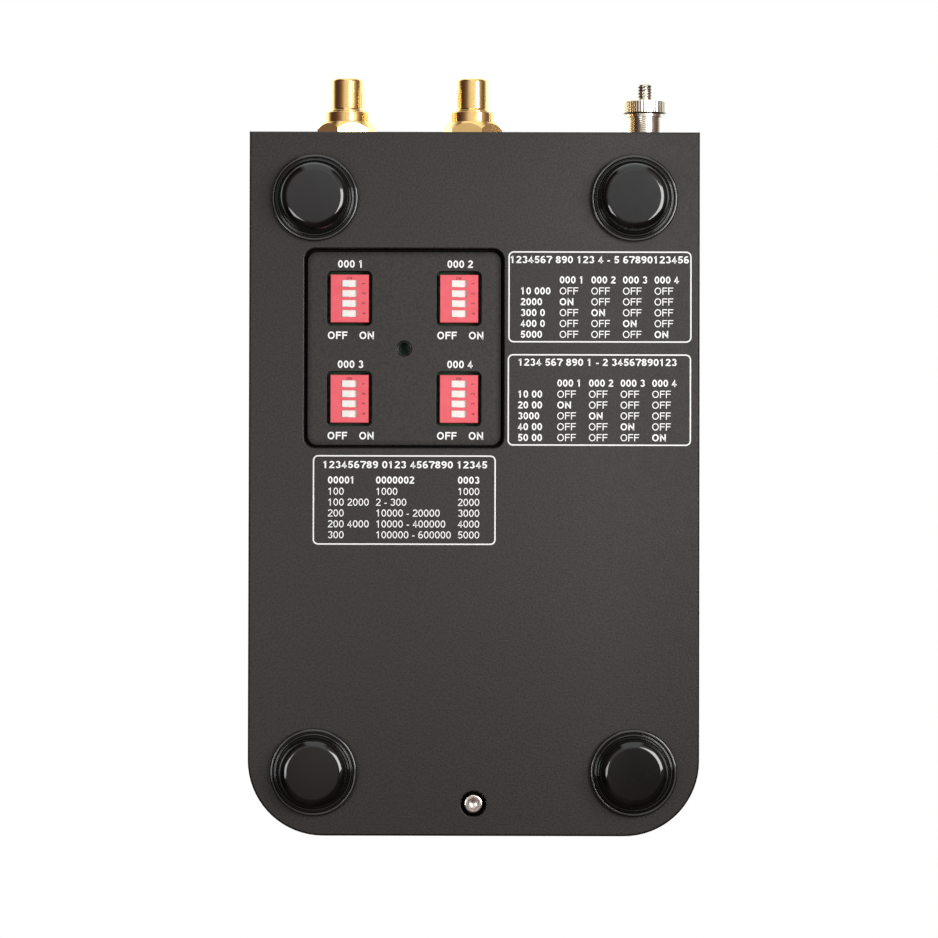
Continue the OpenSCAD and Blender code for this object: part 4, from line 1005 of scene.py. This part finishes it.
def hangCard():
    material, tree, shader, coords = newMaterial("card_paper", Roughness=0.9)
    addMottle(tree, shader, coords, "#000000", "#020202", 0.2)
    grain = addNode(tree, "ShaderNodeTexNoise", {"Vector": coords, "Scale": card["grain"]})
    level = addNode(tree, "ShaderNodeMapRange", {
        "Value": grain, "To Min": card["level"][0], "To Max": card["level"][1]})
    tree.links.new(level.outputs["Result"], shader.inputs["Emission Strength"])
    shader.inputs["Emission Color"].default_value = (1, 0.97, 0.93, 1)
    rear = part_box("bottom_plate")[1][1]
    x, y = [-u * mm for u in card["across"]], [rear + v * mm for v in card["past"]]
    z = -card["below"] * mm
    corners = [(x[0], y[0], z), (x[1], y[0], z), (x[1], y[1], z), (x[0], y[1], z)]
    stagePiece("card", corners, [(0, 1, 2, 3)], material, glossyOnly=True)


paper = {"reach": 3, "drop": 0.2 * mm}  # metres each way, and just clear of the feet


def dressStage():
    r, z = paper["reach"], -paper["drop"]
    stagePiece("floor", [(-r, -r, z), (r, -r, z), (r, r, z), (-r, r, z)], [(0, 1, 2, 3)], floorPaper())
    ball = bmesh.new()
    bmesh.ops.create_icosphere(ball, subdivisions=4, radius=tent["radius"])
    corners = [(v.co.x, v.co.y + plateMidY, v.co.z + plateZ) for v in ball.verts]
    ball.verts.index_update()
    faces = [[v.index for v in face.verts] for face in ball.faces]
    ball.free()
    stagePiece("light_tent", corners, faces, tentCloth(), glossyOnly=True)
    hangCard()


# lamps below the plate; metres to the viewer's right, towards the rear and below the plate
lamps = {
    "right_box": {"at": (0.24, 0.058, 0.4), "size": (0.24, 0.265), "watts": 2.1},
    "left_box": {"at": (-0.219, -0.054, 0.4), "size": (0.12, 0.19), "watts": 0.5},
}
skyLamps = {
    "above": {"place": (-0.5, -0.7, 1.3), "size": (0.9, 0.9), "watts": 12.0},
    "side": {"place": (0.9, 0.5, 0.9), "size": (0.6, 0.6), "watts": 5.0},
}
surroundings = {"onObject": 0.14, "behind": 1.0}  # strength of the world's white light


def addLamp(name, place, size, watts):
    data = bpy.data.lights.new(name, "AREA")
    data.shape = "RECTANGLE"
    data.size, data.size_y = size
    data.energy = watts
    lamp = bpy.data.objects.new(name, data)
    bpy.context.collection.objects.link(lamp)
    lamp.location = place
    towards = Vector((0, plateMidY, plateZ)) - Vector(place)
    lamp.rotation_euler = towards.to_track_quat("-Z", "Y").to_euler()
    lamp.visible_camera = False


def lightStage():
    for name, lamp in lamps.items():
        u, v, below = lamp["at"]
        addLamp(name, (-u, plateMidY + v, plateZ - below), lamp["size"], lamp["watts"])
    for name, lamp in skyLamps.items():
        addLamp(name, lamp["place"], lamp["size"], lamp["watts"])
    world = bpy.data.worlds.new("studio")
    bpy.context.scene.world = world
    world.use_nodes = True
    tree = world.node_tree
    tree.nodes.clear()
    path = addNode(tree, "ShaderNodeLightPath").outputs
    seen = path["Is Camera Ray"]
    for ray in ("Is Glossy Ray", "Is Transmission Ray"):
        seen = addNode(tree, "ShaderNodeMath", {0: seen, 1: path[ray]}, operation="MAXIMUM")
    ambient, white = [addNode(tree, "ShaderNodeBackground", {"Color": (1, 1, 1, 1), "Strength": strength})
                      for strength in (surroundings["onObject"], surroundings["behind"])]
    mixed = addNode(tree, "ShaderNodeMixShader", {0: seen, 1: ambient, 2: white})
    addNode(tree, "ShaderNodeOutputWorld", {"Surface": mixed})


dressStage()
lightStage()
bpy.context.scene.view_settings.view_transform = "Standard"
print("stage lit")
